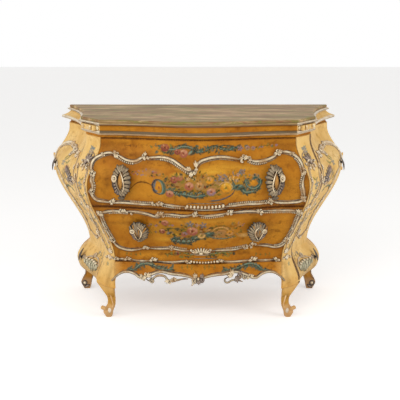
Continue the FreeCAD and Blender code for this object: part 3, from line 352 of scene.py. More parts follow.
def painted(name, codes, streak, picture=False, stains=()):
    """stains are heights in metres: none at the first, full at the second, and the colour."""
    material, tree, where = blank(name)
    ground = ground_of(tree, where, codes, streak)
    colour = ground["Color"]
    if picture:
        paint = tree.node("Attribute", attribute_name="paint").outputs
        worn = tree.spread(tree.noise(where, 190.0), 0.34, 0.52, 0.5, 1.0)
        colour = tree.blend(tree.math("MULTIPLY", paint["Alpha"], worn), colour, paint["Color"])
    if stains:
        level = tree.node("SeparateXYZ", {0: where}).outputs[2]
        uneven = tree.math("MULTIPLY_ADD", tree.noise(where, 60.0, 3.0), 0.02, level)
    for none, full, code in stains:
        low, high = min(none, full) + 0.01, max(none, full) + 0.01
        share = tree.spread(uneven, low, high, *((0, 0.8) if full > none else (0.8, 0)))
        colour = tree.blend(share, colour, linear(code))
    return finished(material, tree, {"Base Color": colour, "Roughness": ground["Rough"],
                                     "Specular IOR Level": 0.1}, ground["Height"], 0.35, 0.0006)


ochre = ("c98826", "a86616", "67390c")
straw = ("f0cb86", "e0b66a", "b98742")
FRONT_STREAK, SIDE_STREAK, LEG_STREAK = (5, 5, 26), (16, 16, 7), (24, 24, 8)
front_paint = painted("golden ochre with painting", ochre, FRONT_STREAK, picture=True)
front_plain = painted("golden ochre", ochre, FRONT_STREAK)
side_paint = painted("straw yellow with painting", straw, SIDE_STREAK, picture=True)
side_plain = painted("straw yellow", straw, SIDE_STREAK)
leg_paint = painted("ochre legs", ("d6a650", "b88434", "845018"), LEG_STREAK,
                    stains=((0.066, 0.046, "d4aa78"), (0.095, 0.132, "dcb06a")))
rear_paint = painted("ochre rear legs", ("d8a04c", "b87e30", "84501a"), LEG_STREAK,
                     stains=((0.062, 0.044, "b8926a"),))


# %% Silver leaf under brown glaze
def leafed(tree, where, reach, codes, relief=False):
    """Glaze lies where near surfaces shade a place, and low in the relief of a carving."""
    shade = tree.node("AmbientOcclusion", {"Distance": reach}, samples=8).outputs["AO"]
    high = tree.spread(shade, 0.45, 0.95)
    if relief:
        lift = tree.node("Attribute", attribute_name="relief").outputs["Fac"]
        high = tree.math("MULTIPLY", lift, high)
    leaf_colour, rubbed, glaze = (linear(code) for code in codes)
    return tree.node("Group", {"Where": where, "Relief": high, "Leaf": leaf_colour, "Rubbed": rubbed,
                               "Glaze": glaze}, node_tree=hollow_glaze).outputs


def silvered(name, *codes, relief=True):
    material, tree, where = blank(name)
    made = leafed(tree, where, 0.010, codes, relief)
    return finished(material, tree, {"Base Color": made["Color"], "Roughness": made["Rough"],
                                     "Metallic": tree.spread(made["Bare"], 0, 1, 0.0, 0.2)},
                    made["Height"], 0.3, 0.0004)


silver_carving = silvered("silvered carving", "f0ddb8", "a87e4c", "321c0a")
silver_side = silvered("silvered carving of the sides", "f0e2c4", "d0ae80", "6e4c26")
dusky_shell = silvered("dusky shell", "a08c7c", "6e5c4c", "24160e")
leafage = silvered("grey-green leafage", "ccc4a4", "8e8e72", "3c2812")
silver_plain = silvered("silvered solid", "e6dac4", "b08c60", "40260e", relief=False)
leg_ridge_gilt = silvered("worn gilt ridge", "e8c088", "c89454", "7a4c1c", relief=False)
silver_gilt_reeds = silvered("silver-gilt reeds", "e8d4a8", "c0924c", "6a4012", relief=False)
pull_silver = silvered("silvered shell", "a89474", "62503a", "120a04")
pull_gold = silvered("gilt hollow", "bc8430", "8e5e1e", "4a2a0a")
dark_bronze = silvered("dark bronze leaf", "5e5044", "463828", "1a120c")


# %% [markdown]
# The two mouldings of the top are silvered at the sides and corners, as double beads, with a dark
# line of painted shade in the groove between them. Along the front they are painted: the upper one
# like the frieze, the lower one grey over a pale bead. So their finish looks at the place: how far the
# point is from the middle, and its level. The frieze changes from ochre to yellow at the same corners.

# %% Mouldings and frieze
FRONT_END = 0.419
EDGE_LINE, NECK_LINE = 0.8815, 0.8435


def two_beads(name, dark_line, front_upper, front_lower):
    material, tree, where = blank(name)
    x, y, z = tree.node("SeparateXYZ", {0: where}).outputs
    silver = leafed(tree, where, 0.012, ("e6d8bc", "c49c66", "5a3a1a"))
    front = tree.spread(tree.math("ABSOLUTE", x), FRONT_END - 0.0015, FRONT_END, 1, 0)
    lower = tree.spread(z, dark_line - 0.0012, dark_line + 0.0002, 1, 0)
    colour = tree.blend(lower, linear(front_upper), linear(front_lower))
    colour = tree.stain(colour, tree.grain(where, (20, 20, 90)), 0.45, 0.7, 0.55, linear("6b4a1e"))
    colour = tree.blend(front, silver["Color"], colour)
    # A dark line along the groove between the beads, all round: painted shade.
    away = tree.from_middle(z, dark_line)
    colour = tree.blend(tree.spread(away, 0.0007, 0.0019, 0.85, 0), colour, linear("5b3d20"))
    return finished(material, tree, {"Base Color": colour, "Roughness": silver["Rough"]},
                    tree.spread(away, 0.0004, 0.003), 0.6, 0.0015)


def frieze_paint():
    material, tree, where = blank("frieze")
    x = tree.node("SeparateXYZ", {0: where}).outputs[0]
    front = tree.spread(tree.math("ABSOLUTE", x), FRONT_END - 0.001, FRONT_END, 1, 0)
    side, middle = (ground_of(tree, where, codes, FRONT_STREAK) for codes in (straw, ochre))
    colour = tree.blend(front, side["Color"], middle["Color"])
    return finished(material, tree, {"Base Color": colour, "Roughness": side["Rough"],
                                     "Specular IOR Level": 0.1}, side["Height"], 0.35, 0.0006)


edge_moulding = two_beads("moulded edge of the top", EDGE_LINE, "b09464", "7a4c14")
neck_moulding = two_beads("moulding of the neck", NECK_LINE, "6a5a40", "dcc49c")
frieze_finish = frieze_paint()


# %% [markdown]
# The top is wood painted to look like marble: bands of greyish beige run along it, with brown-pink
# streaks and greenish veins. Noise that is stretched along the length of the board gives the
# bands, and a narrow range of another such noise gives the veins.

# %% Marbled top
def marbled():
    material, tree, where = blank("marbled top")
    bands = tree.grain(where, (3.2, 17.0, 17.0), 6.0)
    fine = tree.grain(where, (9.0, 60.0, 60.0), rough=0.65)
    vein = tree.from_middle(tree.grain(where, (4.0, 26.0, 26.0)), 0.53)
    colour = tree.blend(tree.spread(bands, 0.42, 0.58), linear("8c7048"), linear("bc9c70"))
    colour = tree.stain(colour, fine, 0.48, 0.62, 0.8, linear("8a5a40"))
    colour = tree.blend(tree.spread(vein, 0.0, 0.04, 0.85, 0), colour, linear("80803e"))
    colour = tree.stain(colour, tree.grain(where, (5.0, 34.0, 34.0)), 0.57, 0.65, 0.8,
                        linear("d8b88a"))
    return finished(material, tree, {"Base Color": colour, "Roughness": 0.5,
                                     "Specular IOR Level": 0.18}, fine, 0.12, 0.0004)


marble = marbled()


# %% [markdown]
# Inside, on the back and under the top the wood is bare: brown softwood, with long grain.

# %% Bare wood
def bare(name, light, deep, stretch):
    material, tree, where = blank(name)
    grain = tree.grain(where, stretch, 7.0)
    colour = tree.blend(tree.spread(grain, 0.35, 0.68), linear(light), linear(deep))
    colour = tree.stain(colour, tree.noise(where, 6.0, 3.0), 0.45, 0.7, 0.35, linear("5c3f24"))
    rough = tree.spread(grain, 0.3, 0.7, 0.55, 0.8)
    return finished(material, tree, {"Base Color": colour, "Roughness": rough}, grain, 0.4, 0.0005)


wood_across = bare("bare wood, grain across", "b98b58", "8d6338", (5, 90, 90))
wood_deep = bare("bare wood, grain front to back", "b98b58", "8d6338", (90, 5, 90))
wood_up = bare("bare wood, upright grain", "b08250", "855b32", (90, 90, 5))

# %% Give the solids their finishes
FINISHES = (
    (marble, ("top_board",)), (edge_moulding, ("top_edge_moulding",)),
    (neck_moulding, ("necking_moulding",)), (frieze_finish, ("frieze",)),
    (front_plain, ("neck_board", "apron_front", "upper_drawer_front", "lower_drawer_front")),
    (side_plain, ("corner_bracket", "front_post", "door_panel", "post_hinges", "door_hinges")),
    (leg_paint, ("front_leg",)), (rear_paint, ("rear_post",)),
    (dark_bronze, ("door_lock", "upper_drawer_pull_bolts", "lower_drawer_pull_bolts")),
    (wood_up, ("back_panel", "partition")),
    (wood_across, ("back_rail", "bottom_board", "drawer_rail")), (wood_deep, ("",)))
for name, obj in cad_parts.items():
    obj.data.materials.clear()
    obj.data.materials.append(next(finish for finish, starts in FINISHES if name.startswith(starts)))
print("solids with a finish:", len(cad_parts))

# %% [markdown]
# ## A brush
# The flowers and scrolls are painted by code. `Canvas` holds a colour and a cover for each point
# of a skin, and its strokes are measured flat, across and up, in millimetres: a dab is a soft
# oval, a haze a very soft one, and a stroke follows a bent line. Colours lie over each other as
# real paint does.

# %% Strokes
PALETTE = {key: np.array(linear(code)) for key, code in {
    "teal": "3e5a4e", "deep teal": "20372f", "pale teal": "7c907c", "green": "6c7238",
    "deep green": "363e18", "pink": "9c5546", "deep pink": "7c3632", "pale pink": "c08468",
    "red": "5e1418", "mauve": "8c7078", "pale mauve": "ae9084", "blue": "6a7c80",
    "cream": "d8b27a", "yellow": "d8a236", "straw": "dcae66", "olive": "7c6c26", "dust": "9c7a50",
    "peach": "c48c50", "slate": "5c6a70", "deep slate": "2c3840", "gold": "cf8a24",
    "brown": "6a3c12", "dark": "4a2408"}.items()}


def smooth_line(points, parts=8):
    """A smooth line through points, given flat."""
    p = np.array(points, float)
    p = np.vstack([2 * p[0] - p[1], p, 2 * p[-1] - p[-2]])
    line = []
    for a, b, c, d in zip(p, p[1:], p[2:], p[3:]):
        for t in np.linspace(0, 1, parts, endpoint=False):
            line.append(0.5 * (2 * b + (c - a) * t + (2 * a - 5 * b + 4 * c - d) * t ** 2
                               + (3 * b - a - 3 * c + d) * t ** 3))
    return np.array(line + [p[-2]])


def steps_along(line, pitch, first, last):
    """Places a pitch apart along a line: the corner before each, the way on from it, how far.

    first and last are where they begin and stop: a share of the length, and so many pitches more."""
    runs = np.linalg.norm(np.diff(line, axis=0), axis=1)
    total = np.concatenate([[0], np.cumsum(runs)])
    at, stop = (share * total[-1] + pitches * pitch for share, pitches in (first, last))
    while at < stop:
        i = min(len(runs) - 1, int(np.searchsorted(total, at)) - 1)
        yield line[i], (line[i + 1] - line[i]) / max(runs[i], 1e-9), at - total[i]
        at += pitch


DAB_EDGE, HAZE_CORE, THIN_END = 0.45, 1.4, 0.25


class Canvas:
    """Colour and cover at the points of a skin; u across and v up are in millimetres."""

    def __init__(self, obj, u, v):
        self.obj, self.u, self.v = obj, u / MM, v / MM
        self.colour = np.zeros((len(u), 3))
        self.cover = np.zeros(len(u))

    def lay(self, near, mask, colour):
        mask = np.clip(mask, 0, 1)
        self.colour[near] = self.colour[near] * (1 - mask[:, None]) + PALETTE[colour] * mask[:, None]
        self.cover[near] = self.cover[near] * (1 - mask) + mask

    def wash(self, mask, colour):
        self.lay(np.arange(len(mask)), mask, colour)

    def dab(self, u, v, long, wide, turn, colour, strength=0.9, point=0.0):
        """An oval dab; point draws its far end to a tip, as in a leaf."""
        reach = max(long, wide) * 1.3
        near = np.nonzero((np.abs(self.u - u) < reach) & (np.abs(self.v - v) < reach))[0]
        du, dv = self.u[near] - u, self.v[near] - v
        c, s = math.cos(turn), math.sin(turn)
        a, b = (du * c + dv * s) / long, (dv * c - du * s) / wide
        b = b / np.clip(1 - point * a, 0.15, 2)
        self.lay(near, (1 - np.hypot(a, b)) / DAB_EDGE * strength, colour)

    def haze(self, u, v, wide, high, colour, strength):
        away = np.hypot((self.u - u) / wide, (self.v - v) / high)
        near = np.nonzero(away < 1)[0]
        self.lay(near, (1 - away[near]) * HAZE_CORE * strength, colour)

    def stroke(self, points, wide, colour, strength=0.85, taper=True, soft=0.5):
        """A bent line through points; its ends are thin unless taper is off."""
        line = smooth_line(points)
        low, high = line.min(0) - wide * 2, line.max(0) + wide * 2
        near = np.nonzero((self.u > low[0]) & (self.u < high[0]) & (self.v > low[1])
                          & (self.v < high[1]))[0]
        if not len(near):
            return
        at = np.stack([self.u[near], self.v[near]], -1)
        best = np.full(len(near), 9.0)
        count = len(line) - 1
        for i in range(count):
            a, run = line[i], line[i + 1] - line[i]
            t = np.clip(((at - a) @ run) / max(run @ run, 1e-6), 0, 1)
            away = np.linalg.norm(at - a - t[:, None] * run, axis=1)
            full = THIN_END + (1 - THIN_END) * np.sin(np.pi * (i + t) / count) if taper else 1.0
            half = wide * full
            best = np.minimum(best, away / half)
        self.lay(near, (1 - best) / soft * strength, colour)

    def write(self):
        """Stores the picture on the skin, over an older one."""
        kept = self.obj.data.attributes
        paint = kept.get("paint") or kept.new("paint", "FLOAT_COLOR", "POINT")
        colour = self.colour / np.maximum(self.cover, 1e-6)[:, None]
        rgba = np.concatenate([colour, self.cover[:, None]], 1).astype(np.float32)
        paint.data.foreach_set("color", rgba.ravel())


# %% [markdown]
# The flowers are a few kinds, each built of dabs: a full rose of overlapping petals with a dark
# heart, a small open flower of five petals, leaves, a sprig that strings leaves on a stem, loose
# foliage, and a scroll with curled leaves.

# %% Flowers and leaves
def rose(canvas, u, v, size, pale="pale pink", mid="pink", heart="red", turn=0.0):
    """Petals round a dark heart; the petals below are in shade, those above are lit."""
    turn += u * 0.06 + v * 0.045

    def petal(x, y, long, wide, angle, colour, strength):
        canvas.dab(u + x * size, v + y * size, long * size, wide * size, angle, colour, strength)

    petal(0, -0.08, 1.05, 0.95, 0, "olive", 0.45)
    for i in range(7):
        a = turn + i * math.tau / 7
        petal(math.cos(a) * 0.55, math.sin(a) * 0.48, 0.44, 0.3, a + 1.4,
              pale if math.sin(a) > 0.3 else mid, 0.8)
        petal(math.cos(a + 0.4) * 0.72, math.sin(a + 0.4) * 0.62, 0.15, 0.05, a + 0.4, "brown", 0.5)
    for i in range(3):
        a = turn + 0.5 + i * math.tau / 3
        petal(math.cos(a) * 0.25, math.sin(a) * 0.22, 0.28, 0.16, a + 1.5,
              mid if i % 2 else pale, 0.9)
    petal(0, 0, 0.27, 0.2, turn, heart, 0.9)
    petal(-0.2, 0.42, 0.28, 0.09, turn + 0.3, "cream", 0.6)


def open_flower(canvas, u, v, size, petal="pale mauve", heart="yellow", turn=0.0):
    for i in range(5):
        a = turn + i * math.tau / 5
        canvas.dab(u + math.cos(a) * size * 0.55, v + math.sin(a) * size * 0.55, size * 0.5,
                   size * 0.28, a, petal)
    canvas.dab(u, v, size * 0.24, size * 0.24, 0, heart)


def leaf(canvas, u, v, long, turn, colour="green", wide=0.36):
    canvas.dab(u + math.cos(turn) * long * 0.5, v + math.sin(turn) * long * 0.5, long * 0.55,
               long * wide * 0.6, turn, colour, 0.85, 0.6)


def sprig(canvas, points, long, colour="green", stem="deep green", wide=1.3, pairs=5):
    """Leaves in pairs along a stem."""
    canvas.stroke(points, wide, stem, 0.75)
    line = smooth_line(points)
    for k in range(pairs):
        i = int((k + 0.7) / pairs * (len(line) - 2))
        run = line[i + 1] - line[i]
        a = math.atan2(run[1], run[0])
        for side in (1, -1):
            leaf(canvas, *line[i], long, a + side * (0.9 + 0.1 * (k % 3)), colour)


def foliage(canvas, x, z, wide, high, count, colours, long=11.0, seed=3):
    """Loose leaves and touches round a bouquet, pointing outward."""
    pick = random.Random(seed)
    for k in range(count):
        a, r = pick.uniform(0, math.tau), math.sqrt(pick.uniform(0.05, 1.0))
        dx, dz = math.cos(a) * r * wide, math.sin(a) * r * high
        turn = math.atan2(dz, dx) + pick.uniform(-0.9, 0.9)
        leaf(canvas, x + dx, z + dz, long * pick.uniform(0.7, 1.7), turn, colours[k % len(colours)],
             pick.uniform(0.35, 0.7))


LEAF_PITCH = 11.0


def ribbon(canvas, points, wide, colour="teal", light="pale teal"):
    """A painted scroll: a broad stroke with curled leaves along both sides, lit from above."""
    line = smooth_line(points)
    for k, (corner, run, _) in enumerate(steps_along(line, LEAF_PITCH, (0, 0.6), (1, -0.4))):
        a = math.atan2(run[1], run[0])
        size = wide * (2.0 + 0.7 * math.sin(k * 2.1))
        for side in (1, -1):
            leaf(canvas, *corner, size * (1.25 if side > 0 else 0.9),
                 a + side * (0.75 + 0.25 * math.sin(k * 1.3 + side)),
                 colour if (k + side) % 3 else "deep " + colour, 0.5)
    for up, share, tint, strength in ((0, 1.0, colour, 0.9), (-0.45, 0.3, "deep " + colour, 0.6),
                                      (0.35, 0.32, light, 0.75)):
        canvas.stroke([(x, z + wide * up) for x, z in points], wide * share, tint, strength)


# %% [markdown]
# ## Skins of gesso
# Painted furniture has a layer of chalk gesso over the wood, and the paint lies on that. A skin is
# a flat grid that is bent onto the face, close enough meshed to hold the brush strokes, and a
# Solidify modifier gives it most of a millimetre of thickness, so that it is a closed sheet.

# %% Make a skin
SKIN, GESSO = 0.0011, 0.0008
GRID, WIDTH_LEVEL = 0.0026, 0.6


def as_mesh(bm, name, *finishes):
    mesh = bpy.data.meshes.new(name)
    bm.to_mesh(mesh)
    bm.free()
    for finish in finishes:
        mesh.materials.append(finish)
    return mesh


def skin(name, body, face, across, low, high, finish):
    """across(v) gives the ends of a row; low is a level, or the places and levels of an edge."""
    edge = low if isinstance(low, tuple) else ((0.0,), (low,))
    stretch = post_width if face is post_face else lambda v: 1.0
    start, end = across(0.5 * (high + min(edge[1])))
    wide = abs(float(end) - float(start)) * float(stretch(WIDTH_LEVEL))
    bm = bmesh.new()
    bmesh.ops.create_grid(bm, x_segments=max(8, int(wide / GRID)),
                          y_segments=max(8, int((high - min(edge[1])) / GRID)), size=0.5)
    mesh = as_mesh(bm, name, finish)
    points = shell_points(mesh)
    s, t = points[:, 0] + 0.5, points[:, 1] + 0.5
    v = 0.5
    for _ in range(2):  # a row's ends need its level, and the level needs the place in the row
        start, end = across(v)
        u = start + (end - start) * s
        foot = np.interp(u, *edge)
        v = foot + (high - foot) * t
    set_points(mesh, bent(face, u, v, np.full(len(u), SKIN)))
    made = placed(name, mesh, body, "painted_wood")
    thick = made.modifiers.new("gesso", "SOLIDIFY")
    thick.thickness = GESSO
    thick.offset = -1
    print(name, len(mesh.vertices), "points")
    return Canvas(made, u * stretch(v), v)


def front_row(v):
    return -(EDGE_X + edge_out(v) - SEAM), EDGE_X + edge_out(v) - SEAM


# %% [markdown]
# The carved frames come later, but the painting needs their lines, because painted shadow, with a
# little dirt, lies along them on the wood. Each frame is a list of C-scrolls: its points across and
# up, the side on which its inner bead and scallops lie, and the stretch that has scallops.

# %% Lines of the frames
UPPER_FRAME = [
    ([(-449, 664), (-456, 700), (-446, 728), (-414, 748), (-376, 758), (-350, 750)], -1, None),
    ([(-354, 756), (-330, 742), (-300, 729), (-265, 728), (-238, 742), (-214, 748)], -1, (0.1, 0.6)),
    ([(-228, 742), (-190, 745), (-149, 747), (-112, 739), (-77, 719), (-44, 700), (-16, 696)], -1,
     (0.3, 0.95)),
    ([(-12, 704), (4, 730), (36, 743), (84, 750), (134, 746), (184, 736)], -1, None),
    ([(196, 744), (242, 727), (285, 731), (318, 742), (340, 757)], -1, (0.1, 0.6)),
    ([(336, 760), (372, 762), (412, 746), (438, 716), (450, 672)], -1, (0.5, 1.0)),
    ([(452, 674), (443, 630), (450, 596), (457, 560)], -1, (0.0, 1.0)),
    ([(458, 568), (440, 553), (400, 547), (340, 549), (306, 558)], -1, None),
    ([(316, 555), (262, 549), (200, 551), (150, 547), (104, 544)], -1, (0.1, 0.9)),
    ([(-50, 545), (-110, 549), (-168, 557)], 1, (0.2, 0.9)),
    ([(-158, 550), (-240, 548), (-300, 550), (-340, 549), (-376, 544)], -1, (0.2, 0.6)),
    ([(-360, 547), (-410, 552), (-438, 560), (-455, 584), (-459, 606)], -1, None),
    ([(-458, 590), (-449, 622), (-456, 648), (-448, 678)], -1, (0.0, 1.0))]
UPPER_KNOTS = [(-352, 752, 30, -0.9), (-226, 748, 26, 1.4), (190, 741, 32, 0.3), (212, 738, 24, -0.6),
               (338, 757, 32, 0.5), (448, 686, 26, -1.2), (452, 562, 28, 2.4), (310, 556, 30, 2.0),
               (292, 552, 22, 0.4), (-164, 554, 28, 0.2), (-188, 554, 22, 2.6), (-366, 550, 28, 1.2),
               (-456, 596, 24, 1.6), (-452, 674, 24, 1.5), (-404, 750, 20, 2.6), (398, 752, 20, 0.5)]
LOWER_FRAME = [
    ([(-432, 490), (-400, 501), (-344, 507), (-286, 503)], -1, (0.3, 0.9)),
    ([(-338, 504), (-270, 508), (-215, 500), (-176, 490), (-152, 500)], -1, None),
    ([(-172, 504), (-110, 504), (-60, 500), (-10, 510)], -1, (0.1, 0.6)),
    ([(-20, 508), (40, 500), (90, 505), (138, 513)], -1, (0.2, 0.8)),
    ([(124, 512), (180, 515), (248, 511), (272, 503)], -1, None),
    ([(254, 514), (330, 510), (400, 507), (448, 500)], -1, (0.0, 0.9)),
    ([(444, 504), (432, 470), (424, 438), (408, 392), (388, 350)], -1, (0.0, 1.0)),
    ([(394, 364), (376, 334), (343, 322), (300, 330), (250, 334)], -1, (0.0, 0.5)),
    ([(216, 330), (160, 319), (100, 318), (52, 316)], -1, (0.0, 0.6)),
    ([(-30, 316), (-70, 318), (-116, 326), (-170, 322), (-236, 320)], -1, (0.1, 0.5)),
    ([(-226, 322), (-292, 308), (-330, 312), (-359, 326), (-386, 364)], -1, None),
    ([(-376, 346), (-398, 396), (-414, 436), (-430, 492)], -1, (0.0, 1.0))]
LOWER_KNOTS = [(-428, 492, 30, -0.6), (-332, 506, 28, 0.4), (-310, 508, 22, 2.6),
               (-166, 502, 32, 0.6),
               (-14, 508, 26, 1.2), (131, 514, 28, 0.6), (262, 511, 28, -0.4), (440, 500, 30, 2.6),
               (390, 358, 28, 0.8), (236, 334, 28, 1.4), (208, 328, 24, 2.8), (-116, 327, 24, 1.6),
               (-232, 321, 26, 0.2), (-382, 360, 26, 1.9), (412, 410, 20, 1.6), (-404, 412, 20, 1.6)]
FOOT_RUNS = [[(-366, 262), (-340, 265), (-312, 262)], [(-320, 264), (-250, 258), (-200, 263)],
             [(-204, 262), (-130, 258), (-60, 266), (-30, 269)],
             [(80, 269), (140, 260), (196, 261), (244, 265)], [(236, 264), (300, 260), (356, 264)]]

dab, haze, stroke = Canvas.dab, Canvas.haze, Canvas.stroke


def lay_rows(canvas, rows):
    """Each row is a brush and what it is told; later rows lie over earlier ones."""
    for brush, *told in rows:
        brush(canvas, *told)


def shadow_under_carving(canvas, runs, wide):
    """Painted shadow, with a little dirt, on the wood just below carving: a dark line close by, and a
    wide brown haze.
    """
    for run in runs:
        below = [(x, z - 2) for x, z in run]
        canvas.stroke(below, wide * 2.6, "brown", 0.3, False, 1.0)
        canvas.stroke(below, wide, "dark", 0.62, False, 0.7)


def seam_shade_at(canvas, level, wide, strength, colour="dark", half=480):
    """A dark line straight across at a level: painted shade along a seam, where a drawer meets the
    case.
    """
    canvas.stroke([(-half, level), (0, level), (half, level)], wide, colour, strength, False)


# %% [markdown]
# The upper drawer has a garland of pink roses and teal scrolls above the frame, and inside the
# frame a bouquet between two ribbon scrolls. Thin arching stems lead from it towards the pulls.
# The paint darkens to brown along the edges and at the top corners: painted shade, with old dirt.
# A soft yellow across the middle is a painted glow of light. Every row below is one touch of a brush,
# in the order of painting: painted glow and shade, painted shadow and dirt along the frame and seams,
# the garland, the haze and leaves behind the bouquet, its scrolls and stems, and the flowers last.

# %% Picture of the upper drawer
upper = skin("upper_drawer_painting", "upper_drawer", front_face, front_row, SPLIT + SEAM,
             BODY_TOP - SEAM, front_paint)
# A soft yellow across the middle of the front: a painted glow of light.
lay_rows(upper, (
    (stroke, [(-240, 630), (-50, 600), (120, 620), (260, 640)], 75, "yellow", 0.16, False, 1.0),
    (stroke, [(-100, 705), (-20, 700), (120, 712), (250, 700)], 24, "yellow", 0.5, True, 1.0)))
# Brown down both edges and along the top corners: painted shade, with some old dirt.
for side in (1, -1):
    lay_rows(upper, (
        (stroke, [(side * 475, 820), (side * 480, 660), (side * 460, 530)], 55, "brown", 0.5, False,
         1.0),
        (stroke, [(side * 470, 810), (side * 400, 790), (side * 300, 800)], 35, "brown", 0.5, True,
         1.0),
        (stroke, [(side * 370, 660), (side * 390, 620), (side * 380, 580)], 50, "brown", 0.22, True,
         1.0)))
lay_rows(upper, (
    # Painted shadow below the frame, then dark lines of painted shade along the seams of the drawer.
    (shadow_under_carving, [run for run, side, scallops in UPPER_FRAME], 13),
    (seam_shade_at, 822, 9, 0.75), (seam_shade_at, 529, 6, 0.8), (seam_shade_at, 533, 17, 0.3, "brown"),
    (foliage, -100, 780, 110, 12, 46, ("teal", "deep teal", "green"), 12, 5),
    (foliage, 90, 783, 110, 10, 46, ("teal", "deep green", "deep teal"), 12, 6),
    (ribbon, [(-168, 793), (-140, 779), (-102, 778), (-70, 790), (-35, 788), (-5, 770), (28, 774)],
     7),
    (ribbon, [(28, 774), (60, 792), (100, 782), (134, 778), (160, 786), (190, 780)], 6),
    (dab, -22, 772, 30, 15, 0.5, "deep teal", 0.9),
    (dab, -34, 768, 16, 6, 0.7, "pale teal", 0.7),
    (stroke, [(-160, 772), (-130, 764), (-100, 772)], 4.2, "deep teal"),
    (stroke, [(-100, 792), (-60, 800), (-30, 792)], 4.2, "deep teal"),
    (stroke, [(30, 780), (60, 796), (100, 788), (140, 776)], 4.2, "deep teal"),
    (stroke, [(60, 780), (100, 796), (150, 790), (180, 776)], 4.2, "deep teal"),
    (sprig, [(60, 784), (110, 788), (160, 779)], 15, "teal", "deep teal", 1.5, 4),
    (sprig, [(-200, 786), (-172, 796), (-150, 790)], 12, "teal", "deep teal", 1.2, 2),
    (rose, -141, 786, 24, "pink", "deep pink"),
    (rose, -62, 764, 24, "pale pink", "pink", "deep pink", 0.5),
    (rose, -88, 770, 17, "pink", "deep pink", "red", 1.1),
    (open_flower, 177, 782, 14, "mauve", "slate"),
    (rose, 208, 782, 14, "mauve", "dust", "brown", 0.4),
    (rose, 232, 780, 13, "mauve", "dust", "deep pink"),
    (foliage, 290, 786, 46, 7, 16, ("green", "deep green", "mauve"), 9, 7),
    (sprig, [(250, 785), (290, 790), (329, 786)], 9, "green", "deep green", 1.0, 3),
    (sprig, [(-330, 788), (-290, 790), (-250, 782)], 8, "brown", "brown", 0.9, 3),
    (haze, -10, 640, 150, 52, "olive", 0.5), (haze, 60, 640, 110, 50, "dust", 0.5),
    (haze, -95, 640, 60, 44, "dust", 0.4), (haze, -84, 680, 42, 15, "yellow", 0.9),
    (haze, 60, 694, 90, 14, "yellow", 0.7), (haze, 170, 640, 60, 36, "olive", 0.4),
    (haze, -165, 631, 14, 18, "gold", 1.0), (haze, 228, 648, 16, 15, "gold", 1.0),
    (haze, -200, 690, 60, 16, "dust", 0.4),
    (foliage, 0, 642, 150, 46, 190, ("olive", "deep green", "deep teal", "dust", "brown"), 12, 8),
    (foliage, 150, 672, 96, 24, 70, ("slate", "olive", "dust", "deep teal"), 10, 9),
    (foliage, -215, 684, 66, 13, 40, ("mauve", "pink", "deep green", "dust"), 8, 10),
    (ribbon, [(-176, 656), (-188, 644), (-188, 624), (-178, 608)], 5, "slate"),
    (stroke, [(-178, 662), (-154, 652), (-144, 628), (-148, 606), (-166, 598)], 11, "deep teal", 0.9),
    (stroke, [(-175, 662), (-151, 652), (-141, 628), (-145, 606), (-163, 598)], 8, "teal", 0.9),
    (stroke, [(-183, 662), (-159, 652), (-149, 628), (-153, 606), (-171, 598)], 3, "pale teal", 0.9),
    (stroke, [(-160, 662), (-182, 656), (-190, 634), (-182, 608), (-160, 598)], 9, "deep slate"),
    (stroke, [(-176, 656), (-186, 634), (-178, 610)], 4, "slate", 0.8),
    (dab, -167, 632, 8, 13, 0.2, "gold"), (dab, -165, 628, 4, 8, 0.2, "deep pink"),
    (ribbon, [(-134, 620), (-112, 612), (-84, 602), (-54, 600), (-22, 592), (12, 593), (36, 600)],
     9)))
for x in (-118, -88, -58, -26, 6):
    upper.stroke([(x - 12, 600), (x - 4, 614), (x + 10, 612), (x + 10, 598)], 4.6, "deep teal")
    upper.stroke([(x - 8, 602), (x - 2, 610), (x + 7, 608)], 2.4, "pale teal", 0.7)
